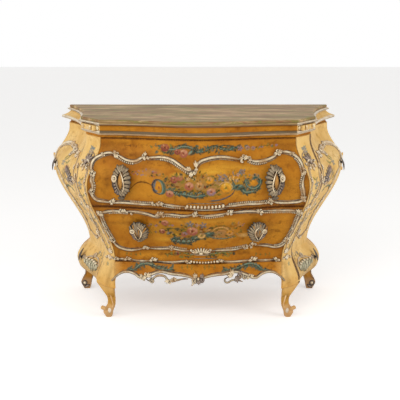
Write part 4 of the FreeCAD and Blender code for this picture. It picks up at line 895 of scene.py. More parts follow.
lay_rows(upper, (
    (stroke, [(30, 574), (70, 572), (110, 582), (142, 600), (154, 624)], 5.5, "deep slate"),
    (stroke, [(50, 575), (90, 577), (130, 592)], 2, "slate", 0.8),
    (ribbon, [(140, 618), (156, 634), (178, 628), (196, 604), (240, 608), (262, 630)], 9),
    (dab, 172, 628, 30, 16, 0.1, "teal", 0.95), (dab, 164, 632, 12, 6, 0.5, "deep teal"),
    (dab, 184, 622, 16, 6, 0.2, "deep teal"), (dab, 176, 634, 10, 3, 0.2, "pale teal", 0.8),
    (ribbon, [(199, 668), (200, 644), (210, 626), (236, 617), (258, 630), (262, 652), (246, 668),
              (228, 666)], 8),
    (stroke, [(-290, 612), (-262, 640), (-234, 648), (-203, 640), (-186, 622)], 4.2, "dark", 0.9),
    (stroke, [(-300, 604), (-285, 618), (-280, 640)], 1.8, "brown", 0.8),
    (stroke, [(-200, 668), (-160, 676), (-120, 664)], 1.8, "brown", 0.7),
    (sprig, [(-81, 690), (-100, 676), (-130, 668), (-150, 676)], 14, "olive", "deep green", 1.3, 4),
    (sprig, [(60, 676), (112, 668), (150, 684), (184, 692)], 14, "slate", "deep teal", 1.3, 4),
    (sprig, [(120, 662), (144, 668), (168, 656)], 13, "straw", "dust", 1.3, 3),
    (stroke, [(60, 640), (84, 660), (112, 664), (132, 650)], 2.2, "dust", 0.8),
    (stroke, [(20, 668), (44, 678), (72, 672), (86, 656)], 2.0, "olive", 0.8),
    (stroke, [(86, 640), (104, 652), (128, 650), (142, 632), (130, 614), (108, 612)], 2.4, "cream",
     0.8),
    (stroke, [(-10, 664), (-30, 668), (-52, 660), (-60, 644)], 2.0, "dust", 0.8),
    (stroke, [(20, 612), (40, 596), (70, 596), (88, 606)], 2.2, "olive", 0.8),
    (rose, -38, 637, 25, "pale pink", "pink", "red", 0.2),
    (rose, 4, 638, 25, "peach", "dust", "brown", 0.9),
    (rose, 54, 613, 25, "pale pink", "mauve", "deep pink", 0.4),
    (rose, 116, 629, 31, "yellow", "gold", "olive", 0.3),
    (rose, -120, 602, 22, "pale pink", "pink", "red", 1.3),
    (rose, -101, 662, 20, "pink", "deep pink", "brown", 0.1),
    (rose, -76, 670, 16, "dust", "pink", "deep pink", 0.7),
    (rose, 46, 662, 21, "peach", "gold", "olive", 0.8),
    (dab, 28, 634, 5, 10, 0.4, "red", 0.8),
    (open_flower, -42, 668, 9, "cream", "brown", 0.2),
    (open_flower, -16, 668, 9, "cream", "brown", 0.9),
    (open_flower, 94, 667, 12, "mauve", "cream", 0.3),
    (open_flower, 184, 690, 14, "slate", "brown", 0.7),
    (open_flower, 166, 680, 9, "pale mauve", "brown", 0.2)))
for x, z, turn in ((-64, 648, 2.4), (-60, 628, 3.4), (-20, 616, -1.4), (24, 618, -0.8),
                   (28, 658, 0.9),
                   (76, 632, 0.4), (84, 606, -0.5), (92, 650, 1.6), (-14, 660, 1.8), (-78, 616, 3.9)):
    leaf(upper, x, z, 17, turn, "deep green" if x % 4 else "olive", 0.5)
upper.write()

# %% [markdown]
# The lower drawer's bouquet hangs lower and looser: one large rose with smaller ones round it,
# over a teal scroll, with an arched frond on the right and a row of leaves above the foot.

# %% Picture of the lower drawer
lower = skin("lower_drawer_painting", "lower_drawer", front_face, front_row, DRAWER_FOOT + SEAM,
             SPLIT - SEAM, front_paint)
# First a painted glow of yellow light across the middle, then brown painted shade down both edges,
# then painted shadow below the carving and painted shade along the seams.
lay_rows(lower, (
    (stroke, [(-240, 420), (-50, 400), (100, 410), (260, 420)], 60, "yellow", 0.16, False, 1.0),
    (stroke, [(-160, 472), (0, 470), (160, 476)], 22, "yellow", 0.4, True, 1.0),
    (stroke, [(450, 520), (410, 400), (370, 270)], 45, "brown", 0.5, False, 1.0),
    (stroke, [(-450, 520), (-410, 400), (-370, 270)], 45, "brown", 0.5, False, 1.0),
    (shadow_under_carving, [run for run, side, scallops in LOWER_FRAME], 12), (shadow_under_carving, FOOT_RUNS, 9),
    (seam_shade_at, 525, 6, 0.8), (seam_shade_at, 256, 4, 0.6),
    (haze, -20, 410, 130, 48, "olive", 0.5), (haze, 90, 406, 80, 38, "dust", 0.6),
    (haze, -130, 425, 70, 40, "olive", 0.4), (haze, -104, 398, 26, 10, "yellow", 0.9),
    (haze, 200, 390, 34, 14, "straw", 0.8), (haze, -150, 372, 60, 16, "yellow", 0.5),
    (foliage, -20, 412, 112, 40, 150, ("olive", "deep green", "dust", "deep teal", "brown"), 12, 12),
    (foliage, 120, 412, 84, 34, 70, ("olive", "dust", "peach", "deep green"), 10, 13),
    (foliage, -165, 430, 62, 30, 44, ("olive", "deep green", "mauve"), 9, 14),
    (ribbon, [(-122, 376), (-100, 366), (-60, 361), (-28, 366), (-2, 386), (24, 392)], 12)))
for x in (-108, -86, -64, -42, -20):
    lower.stroke([(x - 10, 360), (x - 3, 376), (x + 9, 373), (x + 9, 358)], 4.6, "deep teal")
    lower.stroke([(x - 7, 362), (x, 371), (x + 7, 368)], 2.2, "pale teal", 0.7)
lay_rows(lower, (
    (dab, 52, 401, 26, 18, 0.2, "teal", 0.95), (dab, 60, 396, 13, 7, 0.2, "deep teal"),
    (dab, 44, 408, 10, 4, 0.3, "pale teal", 0.8),
    (ribbon, [(48, 392), (66, 382), (98, 377), (130, 379), (158, 388)], 4)))
for grow, colour in ((46, "deep green"), (38, "straw"), (31, "olive"), (23, "peach")):
    lower.stroke([(98 + math.cos(a) * grow * 1.15, 398 + math.sin(a) * grow * 1.05)
                  for a in (2.7, 2.2, 1.6, 1.0, 0.5)], 2.6, colour, 0.8)
lay_rows(lower, (
    (sprig, [(-220, 400), (-190, 408), (-154, 405)], 12, "olive", "deep green", 1.1, 3),
    (sprig, [(130, 446), (170, 456), (205, 440)], 12, "mauve", "brown", 1.0, 3),
    (stroke, [(-160, 428), (-120, 432), (-80, 426), (-50, 430)], 2.2, "deep green", 0.8),
    (rose, -26, 418, 32, "pale pink", "pink", "red", 0.2),
    (rose, -143, 458, 21, "pale pink", "pink", "deep pink", 0.3),
    (rose, -156, 413, 18, "pale pink", "deep pink", "red", 0.9),
    (rose, -60, 402, 18, "mauve", "pink", "brown", 0.2),
    (rose, 14, 396, 22, "dust", "straw", "olive", 0.2),
    (rose, 136, 405, 20, "gold", "peach", "brown", 0.6),
    (open_flower, -35, 456, 19, "slate", "pale mauve", 0.2),
    (open_flower, 21, 451, 19, "slate", "pale mauve", 0.6),
    (open_flower, -6, 452, 10, "pale mauve", "mauve", 0.1),
    (open_flower, -130, 405, 9, "slate", "cream", 0.5),
    (open_flower, 150, 456, 12, "olive", "brown", 0.9),
    (open_flower, 181, 448, 11, "peach", "gold", 0.3),
    (rose, -92, 303, 15, "pink", "deep pink", "red", 0.4),
    (foliage, 0, 296, 160, 12, 60, ("green", "deep teal", "deep green"), 10, 15)))
for side in (1, -1):
    sprig(lower, [(side * 70, 306), (side * 105, 300), (side * 150, 286)], 13, "green", "deep teal",
          1.2, 4)
    sprig(lower, [(side * 330, 292), (side * 290, 286), (side * 240, 292)], 11, "green",
          "deep green", 1.0, 4)
ribbon(lower, [(-70, 306), (-30, 296), (10, 304), (60, 300), (120, 306), (150, 296)], 4, "green")
lower.write()

# %% [markdown]
# The apron board has a shaped lower edge, so its skin's foot follows that line. Two long teal
# scrolls are painted on it, one on each side of the middle.

# %% Picture of the apron
APRON_EDGE = [(0, 186), (22, 196), (60, 205), (118, 209), (165, 214), (210, 200), (253, 184),
              (285, 200), (321, 206), (352, 196), (386, 168)]
APRON_END, ABOVE_EDGE = 0.386, 0.0008
right_edge = smooth_line(APRON_EDGE) * MM
edge_u = np.concatenate([-right_edge[:0:-1, 0], right_edge[:, 0]])
edge_v = np.concatenate([right_edge[:0:-1, 1], right_edge[:, 1]]) + ABOVE_EDGE


def apron_row(v):
    end = np.minimum(EDGE_X + edge_out(v), APRON_END)
    return -end, end


apron = skin("apron_painting", "carcass", front_face, apron_row, (edge_u, edge_v), DRAWER_FOOT - SEAM,
             front_paint)
apron.wash(np.clip((np.abs(apron.u) - 335) / 50, 0, 1) * 0.8, "straw")
# Painted shade along the seam below the lower drawer.
seam_shade_at(apron, 253, 4, 0.6, half=400)
for side in (1, -1):
    for brush, points, *told in (
            (ribbon, ((320, 214), (283, 220), (262, 238), (232, 246), (206, 242), (176, 232),
                      (140, 226), (112, 232)), 8),
            (sprig, ((300, 217), (262, 229), (236, 240)), 15, "teal", "deep teal", 1.3, 3),
            (sprig, ((214, 240), (176, 236), (132, 228)), 15, "deep teal", "deep teal", 1.3, 4),
            (sprig, ((90, 236), (50, 242), (20, 238)), 11, "green", "deep green", 1.0, 3)):
        brush(apron, [(side * x, z) for x, z in points], *told)
apron.write()

# %% [markdown]
# ## Right and left
# The posts, doors and their carvings come in pairs. The right one is made, and the left one is a
# mirrored copy. Turning over one axis turns a shape inside out, so its faces are reversed again.
# Only on the right does the joint of post and door stand open, so the painted shadow in it comes last.


# %% Mirror a piece
def left_of(name):
    return name.replace("right", "left")


def mirrored(obj):
    """The left piece of a right one, on the left body and in place of the left solids."""
    mesh = obj.data.copy()
    mesh.name = left_of(obj.name)
    bm = bmesh.new()
    bm.from_mesh(mesh)
    bmesh.ops.scale(bm, vec=(-1, 1, 1), verts=bm.verts)
    bmesh.ops.reverse_faces(bm, faces=bm.faces)
    bm.to_mesh(mesh)
    bm.free()
    body, slot, replaced = made_as[obj.name]
    made = placed(left_of(obj.name), mesh, left_of(body), slot, [left_of(node) for node in replaced])
    for modifier in obj.modifiers:
        copy = made.modifiers.new(modifier.name, modifier.type)
        copy.thickness, copy.offset = modifier.thickness, modifier.offset
    return made


def joint_shadow(canvas, beyond):
    """Painted shadow along the open joint; beyond is how far a point lies into it, in millimetres."""
    for _ in range(3):
        canvas.wash(np.clip(beyond / 3.0, 0, 1), "dark")
    canvas.write()


# %% Pictures of the posts
post = skin("front_post_painting_right", "carcass", post_face, lambda v: (0.012, 0.988),
            LEG_TOP + 0.001, BODY_TOP - 0.001, side_paint)
post.wash((190 - post.v) / 50 * 0.4, "gold")
post.wash((22 - post.u) / 20 * (post.v < 260) * 0.35, "gold")
# The first two brown strokes are painted shade on the rounded knee next to the drawers.
lay_rows(post, (
    (stroke, [(20, 235), (30, 195), (50, 150)], 20, "brown", 0.3, False, 1.0),
    (stroke, [(4, 250), (4, 200), (6, 150)], 6, "brown", 0.4, False, 1.0),
    (sprig, [(34, 722), (44, 750), (40, 782)], 22, "blue", "teal", 1.3, 3),
    (open_flower, 42, 764, 19, "blue", "pale mauve", 0.3),
    (open_flower, 56, 742, 12, "pale teal", "yellow", 0.3)))
for z, size in ((620, 20), (545, 18), (430, 14)):
    sprig(post, [(40, z - 34), (50, z), (44, z + 34)], 17, "teal", "deep teal", 1.2, 3)
    open_flower(post, 50, z, size, "blue", "pale mauve", 0.5)
    leaf(post, 36, z + 22, 20, 2.2, "green")
for z in (480, 385, 350, 315):
    post.dab(46, z, 6, 22, 0.1, "green" if z % 2 else "pale teal", 0.7)
    post.dab(54, z + 18, 5, 16, -0.2, "gold", 0.7)
rose(post, 40, 268, 13, "pale pink", "pink", "deep pink")
open_flower(post, 52, 232, 10, "pale teal", "yellow", 0.3)
post.write()
mirrored(post.obj)
# Painted shadow on the post's edge along the open joint.
joint_shadow(post, post.u + 20 - post_width(post.v * MM) / MM)


# %% Pictures of the doors
JOINT_CLEAR = 0.0035


def door_row(v):
    return door_joint(v)[1] + JOINT_CLEAR, np.full(np.shape(v), REAR_Y)


door = skin("door_painting_right", "door_right", door_face, door_row, LEG_TOP + SEAM, BODY_TOP - SEAM,
            side_paint)
from_joint = door.u - door_joint(door.v * MM)[1] / MM
# A thin painted shade on the door's edge next to the joint.
door.wash(np.clip(1 - (from_joint - 3) / 3, 0, 1) * 0.9, "dark")
lay_rows(door, (
    (open_flower, -40, 770, 13, "pale teal", "blue", 0.4),
    (open_flower, 20, 776, 13, "pale teal", "blue", 0.9),
    (open_flower, -20, 742, 13, "pale teal", "blue", 2.0),
    (rose, 40, 640, 30, "pale pink", "pink", "deep pink", 0.3),
    (rose, 84, 612, 24, "cream", "yellow", "gold", 0.8),
    (open_flower, 20, 596, 20, "pale mauve", "mauve", 0.3),
    (open_flower, 92, 664, 18, "blue", "pale mauve", 0.3),
    (sprig, [(0, 560), (30, 610), (60, 680), (110, 700)], 24, "green", "deep green", 1.4, 6),
    (sprig, [(120, 580), (90, 600), (60, 640)], 20, "teal", "deep teal", 1.2, 4),
    (ribbon, [(20, 540), (50, 560), (96, 552), (120, 520), (100, 500)], 5)))
for y, z in ((60, 470), (70, 400)):
    open_flower(door, y, z, 15, "blue", "yellow", 0.2)
    sprig(door, [(y - 20, z - 30), (y, z), (y + 6, z + 40)], 17, "teal", "deep teal", 1.2, 3)
# The two broad brown strokes are painted shade on the lower swelling of the door.
lay_rows(door, (
    (stroke, [(-20, 205), (60, 185), (150, 165)], 50, "brown", 0.32, False, 1.0),
    (stroke, [(0, 145), (100, 140), (220, 140)], 25, "brown", 0.4, False, 1.0),
    (open_flower, -16, 262, 11, "blue", "pale mauve", 0.3),
    (open_flower, 20, 250, 11, "blue", "pale mauve", 0.3),
    (open_flower, 70, 240, 11, "blue", "pale mauve", 0.3),
    (sprig, [(-60, 230), (-10, 226), (40, 236), (90, 228)], 15, "teal", "deep teal", 1.2, 5)))
door.write()
mirrored(door.obj)
# Painted shadow on the door's edge along the open joint.
joint_shadow(door, 8.5 - from_joint)

# %% [markdown]
# ## Carving
# A carving is modelled flat on a bench: x runs along, y up, and z out of the wood. Beads are
# curves with a round bevel, whose points carry a radius, and leaves are stretched and pointed
# spheres. The finished relief is bent onto its face. The height above the wood is kept as an
# attribute, so that the glaze can lie dark in the hollows and bright leaf on the crests.


# %% The carver's bench
def petal_blank():
    """A ball that every leaf, petal and rib is stretched from."""
    bm = bmesh.new()
    bmesh.ops.create_uvsphere(bm, u_segments=10, v_segments=7, radius=1.0)
    mesh = as_mesh(bm, "petal")
    return mesh, shell_points(mesh)


PETAL, PETAL_POINTS = petal_blank()


def round_bead(points, radii, parts):
    """A rounded moulding through points in metres, with a radius in millimetres at each."""
    curve = bpy.data.curves.new("bead", "CURVE")
    curve.dimensions = "3D"
    curve.bevel_depth = 1.0
    curve.bevel_resolution = 2
    curve.resolution_u = parts
    curve.use_fill_caps = True
    spline = curve.splines.new("BEZIER")
    spline.bezier_points.add(len(points) - 1)
    for at, point, radius in zip(spline.bezier_points, points, radii):
        at.co = point
        at.handle_left_type = at.handle_right_type = "AUTO"
        at.radius = radius * MM
    holder = bpy.data.objects.new("bead", curve)
    mesh = bpy.data.meshes.new_from_object(holder)
    bpy.data.objects.remove(holder)
    bpy.data.curves.remove(curve)
    return mesh


def joined(meshes):
    """The meshes as one; the blank of the petals is kept, the others are used up."""
    bm = bmesh.new()
    for mesh in meshes:
        bm.from_mesh(mesh)
    for mesh in set(meshes) - {PETAL}:
        bpy.data.meshes.remove(mesh)
    return bm


class Relief:
    """Carving drawn flat in millimetres, and bent onto a face when it is done."""

    def __init__(self):
        self.parts = []

    def bead(self, points, radius, taper=0.35, squash=0.85, lift=0.0, material=0):
        """A rounded moulding, thin at its ends."""
        last = len(points) - 1
        shares = [min(i, last - i) / max(1.0, last / 2) for i in range(last + 1)]
        radii = [radius * (taper + (1 - taper) * min(1.0, share * 2.2)) for share in shares]
        mesh = round_bead([(x * MM, y * MM, 0) for x, y in points], radii, 5)
        flat = shell_points(mesh)
        flat[:, 2] = flat[:, 2] * squash + lift * MM
        self.parts.append((mesh, flat, material))

    def lobe(self, x, y, long, wide, turn, high, lift=0.0, point=0.5, bend=0.0, material=0, tilt=0.0):
        """A leaf or rib: stretched, pointed at its far end, bent sideways, its far end lowered."""
        a, b, c = PETAL_POINTS.T
        along_it = a * long
        across_it = b * (1 - point * a) * wide + bend * a * a * wide
        up = c * (1 - 0.3 * np.abs(a)) * high + lift - tilt * a
        co, si = math.cos(turn), math.sin(turn)
        right, ahead = along_it * co - across_it * si, along_it * si + across_it * co
        flat = np.stack([x + right, y + ahead, up], 1)
        self.parts.append((PETAL, flat * MM, material))

    def lobe_out(self, x, y, reach, a, *shape):
        """A lobe at a distance from a root, pointing away from it."""
        self.lobe(x + math.cos(a) * reach, y + math.sin(a) * reach, *shape[:2], a, *shape[2:])

    def scroll(self, x, y, outer, inner, start, turns, radius, squash=1.0, lift=0.0, material=0):
        """A volute that winds in, with a button at its eye."""
        count = max(6, int(abs(turns) * 9))
        points = []
        for i in range(count + 1):
            a, r = start + turns * math.tau * i / count, outer + (inner - outer) * i / count
            points.append((x + math.cos(a) * r, y + math.sin(a) * r))
        self.bead(points, radius, 0.6, squash, lift, material)
        self.lobe(x, y, radius * 1.25, radius * 1.25, 0, radius * 1.2, lift, 0, 0, material)

    def fan(self, x, y, size, turn, count=5, sweep=2.2, high=5.0, material=0):
        """Acanthus leafage: lobes spread from a root, longest in the middle, and turn over."""
        for i in range(count):
            share = (i + 0.5) / count - 0.5
            long = size * (1 - 0.9 * share * share * 2)
            self.lobe_out(x, y, long * 0.5, turn + share * sweep, long * 0.5, size * 0.17, high, 1.0,
                          0.1, 0.9 * share, material)
        self.lobe_out(x, y, size * 0.2, turn, size * 0.3, size * 0.13, high * 1.25, 1.0, 0.2, 0.0,
                      material)

    def knot(self, x, y, size, turn):
        """A small burst of leaf that interrupts a bead, with a curl beside it."""
        self.fan(x, y, size * 0.95, turn, 3, 1.2, 7.5)
        self.fan(x, y, size * 0.8, turn + math.pi * 0.92, 3, 1.1, 6.5)
        self.scroll(x + math.cos(turn + 1.4) * size * 0.3, y + math.sin(turn + 1.4) * size * 0.3,
                    size * 0.24, 1.5, turn, 0.8, size * 0.10, 1.3, 3.0)

    def knots(self, rows):
        for row in rows:
            self.knot(*row)

    def gadroons(self, points, pitch, long, wide, side, high, share, away):
        """A row of small scallops along one side of a bead."""
        line = smooth_line(points, 10)
        for corner, run, beyond in steps_along(line, pitch, (share[0], 0.5), (share[1], 0)):
            a = math.atan2(run[0] * side, -run[1] * side)
            self.lobe_out(*(corner + run * beyond), long * away, a, long, wide, high, 0.0, 0.15)

    def finish(self, name, body, face, finishes, slot="silver_gilt_wood", replaced=(), reference=9.0,
               floor=0.0):
        """Bends the relief onto a face; it is bare at the height of reference, and glazed at floor."""
        meshes, flats, materials = zip(*self.parts)
        tint = np.repeat(materials, [len(mesh.polygons) for mesh in meshes])
        mesh = as_mesh(joined(meshes), name, *finishes)
        flat = np.concatenate(flats)
        mesh.polygons.foreach_set("material_index", tint.astype(np.int32))
        relief = np.clip((flat[:, 2] / MM - floor) / (reference - floor), 0, 1).astype(np.float32)
        mesh.attributes.new("relief", "FLOAT", "POINT").data.foreach_set("value", relief)
        u = flat[:, 0] / (post_width(flat[:, 1]) if face is post_face else 1.0)
        set_points(mesh, bent(face, u, flat[:, 1], flat[:, 2]))
        print(name, len(mesh.polygons), "faces")
        return placed(name, mesh, body, slot, replaced)

# %% [markdown]
# ### Frames of the drawers
# The frame of the upper drawer is a chain of long C-scrolls. Each is a broad bead, a thinner one
# lies inside it, and scallops fill the stretches where the bead is wide. Leaf knots hide the
# places where two scrolls meet, and a leaf stands in the dip at the middle of the top. A carving is
# written as rows: the tool, and where and how large it cuts, in millimetres.

# %% Frame of the upper drawer
SPINE, KNOT_SHARE = 6.4, 0.84
bead, lobe, scroll = Relief.bead, Relief.lobe, Relief.scroll
fan, knot, knots = Relief.fan, Relief.knot, Relief.knots


def carved(*rows):
    """A relief made of rows, each a tool and what it is told."""
    relief = Relief()
    for tool, *told in rows:
        tool(relief, *told)
    return relief


def framed(relief, run, side, scallops=None, radius=SPINE):
    """One C-scroll of a frame: bead, inner bead, scallops, and a curl at each end."""
    relief.bead(run, radius, 0.45)
    line = smooth_line(run, 3)
    step = np.gradient(line, axis=0)
    step /= np.linalg.norm(step, axis=1, keepdims=True)
    beside = np.stack([-step[:, 1], step[:, 0]], -1) * side
    relief.bead((line + beside * (radius + 2.4))[1:-1], 3.0, 0.5, 0.9)
    relief.bead((line - beside * (radius + 0.6))[2:-2], 1.8, 0.5, 0.9)
    if scallops:
        relief.gadroons(run, 8.0, 6.6, 4.5, side, 5.0, scallops, 1.4)
    for at, back in ((0, 2), (-1, -3)):
        x, y = line[at] + beside[at] * radius * 0.8
        dx, dy = line[back] - line[at]
        relief.scroll(x, y, radius * 0.95, 2.0, math.atan2(dy, dx) + math.pi, 0.9 * side, 3.2, 1.2,
                      2.0)


carved(
    *((framed, *row) for row in UPPER_FRAME),
    (knots, [(x, y, size * KNOT_SHARE, turn) for x, y, size, turn in UPPER_KNOTS]),
    (fan, -8, 710, 30, 1.75, 3, 0.9, 9.0), (fan, -30, 700, 26, 2.7, 4, 1.2, 7.0),
    (fan, -26, 694, 24, -2.0, 4, 1.3, 7.0), (scroll, -14, 698, 10, 3, 2.6, 1.1, 3.6, 1.2),
    *((lobe, -46 + i * 15, 547 - 3 * math.sin(i / 10 * math.pi), 9.5, 6.8, math.pi / 2, 9.0, 0, 0.2)
      for i in range(11)),
    (bead, [(-66, 537), (-10, 532), (40, 530), (90, 532), (130, 538)], 4.6),
    (bead, [(-60, 560), (-10, 561), (40, 560), (90, 561), (116, 558)], 3.0),
).finish("upper_drawer_carving", "upper_drawer", front_face, [silver_carving],
         replaced=["upper_drawer_frame"])


# %% Frame and moulding of the lower drawer
LOWER_SPINE = 5.9


def ribs_over(relief, x, y, count):
    """A low fan of ribs at the middle of the foot."""
    for i in range(count):
        a = math.pi * (0.08 + 0.84 * i / (count - 1))
        relief.lobe(x + math.cos(a) * 30, y + math.sin(a) * 13, 17, 5.4, a, 8.5, 0, 0.1)


def foot_run(relief, run):
    """A bead with a thin one below it, drawn in at its end."""
    relief.bead(run, 5.6)
    relief.bead([(x, y - 6.5) for x, y in run[:-1]] + [(run[-1][0] - 4, run[-1][1] - 6)], 2.6, 0.5)


carved(
    *((framed, *row, LOWER_SPINE) for row in LOWER_FRAME),
    (knots, [(x, y, size * KNOT_SHARE, turn) for x, y, size, turn in LOWER_KNOTS]),
    (ribs_over, 12, 306, 9), (lobe, 12, 304, 12, 8, 0, 9.0, 0, 0.0),
    (bead, [(-44, 308), (-12, 298), (14, 296), (40, 298), (70, 310)], 4.6),
).finish("lower_drawer_carving", "lower_drawer", front_face, [silver_carving],
         replaced=["lower_drawer_frame"])
carved(
    *((foot_run, run) for run in FOOT_RUNS),
    (knots, [(x, 263, size, turn) for x, size, turn in (
        (-366, 20, 0.2), (-316, 24, 0.3), (-200, 26, 0.4), (-44, 22, 2.8), (94, 22, 0.3),
        (240, 28, 0.4), (352, 22, 2.8))]),
    *((lobe, -31 + i * 12.6, 264 - 5 * math.sin(i / 9 * math.pi), 8.5, 5.8, 1.57, 8.5, 0, 0.2)
      for i in range(10)),
    (bead, [(-40, 276), (0, 278), (30, 279), (60, 278), (94, 276)], 3.2),
).finish("lower_drawer_foot_carving", "lower_drawer", front_face, [silver_carving],
         replaced=["lower_drawer_edge_moulding"])

# %% [markdown]
# ### Carving of the apron
# A bead follows the shaped lower edge. On the left a leafy branch leaves the edge and meets it
# again, so that daylight shows between, and a pendant hangs in the middle. On the right the leaf
# lies close under the board.


# %% Carving of the apron
def edge_bead(relief, side):
    run = [(side * x, z + 4) for x, z in APRON_EDGE]
    relief.bead(run, 5.5, 0.7)
    relief.bead([(x, z + 8) for x, z in run[1:-1]], 2.4, 0.6)


carved(
    (edge_bead, 1), (edge_bead, -1),
    (bead, [(-236, 190), (-215, 178), (-201, 188), (-186, 200), (-168, 204), (-147, 201), (-134, 189),
            (-118, 184), (-92, 190), (-66, 196), (-44, 197)], 5.0),
    (knots, [(-228, 194, 30, 0.6), (-246, 190, 22, 2.4), (-126, 186, 26, 3.4), (-108, 190, 20, 0.2)]),
    (scroll, -204, 180, 11, 4, 1.4, 1.1, 4.0),
    (fan, -2, 192, 22, -1.2, 4, 1.5, 8.0, 1), (fan, -8, 200, 24, 2.2, 4, 1.6, 8.0),
    (fan, 10, 200, 22, 0.9, 4, 1.5, 8.0, 1), (scroll, -16, 188, 12, 3, 0.3, 1.4, 4.6),
    (scroll, 14, 192, 12, 3, 2.8, -1.4, 4.6, 1.0, 0.0, 1), (lobe, -24, 176, 11, 4.5, -2.2, 6, 0, 0.3),
    (lobe, 0, 196, 7, 9, 0, 9, 0, 0), (fan, 146, 204, 28, 1.5, 4, 1.6, 8.0),
    (fan, 150, 202, 26, 2.9, 3, 1.2, 7.0), (fan, 166, 200, 30, -1.1, 4, 1.5, 8.0, 1),
    (fan, 176, 206, 24, 0.6, 3, 1.3, 7.0, 1), (scroll, 206, 196, 12, 4, 0.0, 1.2, 4.4),
    (scroll, 182, 198, 11, 4, 3.1, -1.1, 4.0), (knot, 228, 192, 24, 0.4),
    (bead, [(130, 200), (116, 190), (124, 178), (150, 186), (176, 184), (196, 176)], 4.4),
).finish("apron_leafwork", "carcass", front_face, [silver_carving, dusky_shell],
         replaced=["apron_carving"])

# %% [markdown]
# ### Shell pulls
# Each drawer is opened by two carved shells that stand a finger's depth off the wood. Ribs spread
# from a hollow in the middle to a scalloped rim, and a volute curls at the outer side. The upper
# shells have a gilt hollow and a small leaf below; the lower ones are wider, and their hollow is a
# fan of gilt and silvered ribs. The shell is made flat, and its own height is added to the stand.


# %% Shell pulls
PULL_STAND, PULL_HIGH = 15.0, 34.0
SHELL_WIDE, SHELL_TALL = 46.0, 65.0
HOLLOW_WIDE, HOLLOW_TALL = 15.0, 36.0
RIBS = 22
# Ribs in shade, the base under the ribs and the eye of the volute take the dark dusky finish: painted
# shade. The rims of the hollow and the volutes take the brighter silver: a painted highlight.
WHITE, GILT, SHADY, HIGHLIGHT = 0, 1, 2, 3


def rim_of_hollow(relief, x, y, outer, places, radius, taper, lift, material):
    relief.bead([(x + outer * dx, y + dy) for dx, dy in places], radius, taper, 1.0, PULL_HIGH + lift,
                material)


def rib_fan(relief, x, y, outer):
    """The hollow of a lower shell."""
    for i in range(6):
        a = math.pi / 2 + (i - 2.5) * 0.23
        relief.lobe(x + math.cos(a) * 34, y - 32 + math.sin(a) * 40, 36, 5.4, a, 8, PULL_HIGH - 6,
                    -0.25, 0.16 * outer, WHITE if i % 2 else GILT)
    for places, radius in ((((-2, 34), (-16, 12), (-14, -12), (-2, -34)), 3.4),
                           (((18, 4), (12, -14), (2, -34)), 3.0)):
        rim_of_hollow(relief, x, y, outer, places, radius, 0.4, 2, HIGHLIGHT)


def gilt_hollow(relief, x, y, outer):
    """The hollow of an upper shell."""
    top, foot = HOLLOW_TALL, -HOLLOW_TALL * 1.1
    relief.lobe(x, y, HOLLOW_WIDE, HOLLOW_TALL * 1.08, outer * 0.16, 6, PULL_HIGH - 9, 0.0, 0.0, GILT)
    for i in (-1, 0, 1):
        relief.lobe(x + outer * i * 7, y + i * 3, 4.0, HOLLOW_TALL * 0.9, outer * 0.2, 3,
                    PULL_HIGH - 6, 0.0, 0.1 * outer, GILT)
    rim_of_hollow(relief, x, y, outer, ((4, top), (17, 14), (13, -12), (-4, foot)), 2.4, 0.5, 1,
                  WHITE)
    rim_of_hollow(relief, x, y, outer, ((2, top), (-13, 6), (-17, -18), (-8, foot)), 3.0, 0.4, 1,
                  HIGHLIGHT)


def foot_leaf(relief, x, y):
    for i in range(5):
        a = -1.57 + (i - 2) * 0.5
        relief.lobe(x + math.cos(a) * 9, y + math.sin(a) * 6, 10, 4.6, a, 6, PULL_STAND + 4, 0.2)


def shell_pull(relief, x, y, outer, scale, sink):
    """outer is 1 where the volute is on the right; sink lowers the hollow within the shell."""
    wide, tall, y = SHELL_WIDE * scale + sink * 0.35, SHELL_TALL * scale - sink * 0.8, y + sink * 0.7
    pick = random.Random(7)
    for i in range(RIBS):
        a = math.tau * (i + 0.5) / RIBS
        sx, sy = math.sin(a), math.cos(a)
        near = (x + sx * HOLLOW_WIDE * 0.9 - outer * 4 * sy, y - sink + sy * HOLLOW_TALL * scale * 0.9)
        grow = 1.0 + pick.uniform(-0.07, 0.07) - 0.1 * max(0, sx * outer)
        far = (x + sx * wide * grow, y + sy * tall * grow)
        turn = math.atan2(far[1] - near[1], far[0] - near[0])
        in_shade = sx * outer > 0.1 and sy < 0.45
        broad, lower_by, finish = (5.0, 12, SHADY) if in_shade else (6.4, 7, WHITE)
        relief.lobe((near[0] + far[0]) / 2, (near[1] + far[1]) / 2, math.dist(near, far) * 0.52,
                    broad * scale, turn, 6.5, PULL_HIGH - lower_by, -0.38, 0.3 * outer, finish, 8.0)
    relief.lobe(x, y, wide * 0.93, tall * 0.94, 0, 7, PULL_STAND + 3, 0.0, 0.0, SHADY)
    (rib_fan if sink else gilt_hollow)(relief, x, y, outer)
    eye = x + outer * 25 * scale
    relief.scroll(eye, y + 10, 11 * scale, 5.0, 2.2, -outer * 1.5, 3.0, 1.2, PULL_STAND + 20, HIGHLIGHT)
    relief.lobe(eye, y + 10, 6, 6, 0, 4, PULL_STAND + 16, 0.0, 0.0, SHADY)
    if not sink:
        foot_leaf(relief, x, y - tall * 0.93)
    relief.lobe(x, y, 13, 13, 0, 12, 10, 0.0)


for place, half, level, scale, sink in (("upper", 322, 646, 1.0, 0.0),
                                        ("lower", 256, 413, 0.95, 12.0)):
    carved(*((shell_pull, side * half, level, side, scale, sink) for side in (1, -1))).finish(
        place + "_shell_pulls", place + "_drawer", front_face,
        [pull_silver, pull_gold, dusky_shell, silver_carving], replaced=[place + "_drawer_pulls"],
        reference=PULL_HIGH + 3, floor=PULL_STAND + 2)

# %% [markdown]
# ### Mouldings of the posts
# On each canted post a carved cap stands a little above the drawers' frame, and from it two thin
# mouldings run down along both edges and meet above the leg.


# %% Mouldings of the posts
def on_post(share, z):
    """A place on the post, by its share of the width."""
    return share * float(post_width(np.array(z * MM))) / MM, z


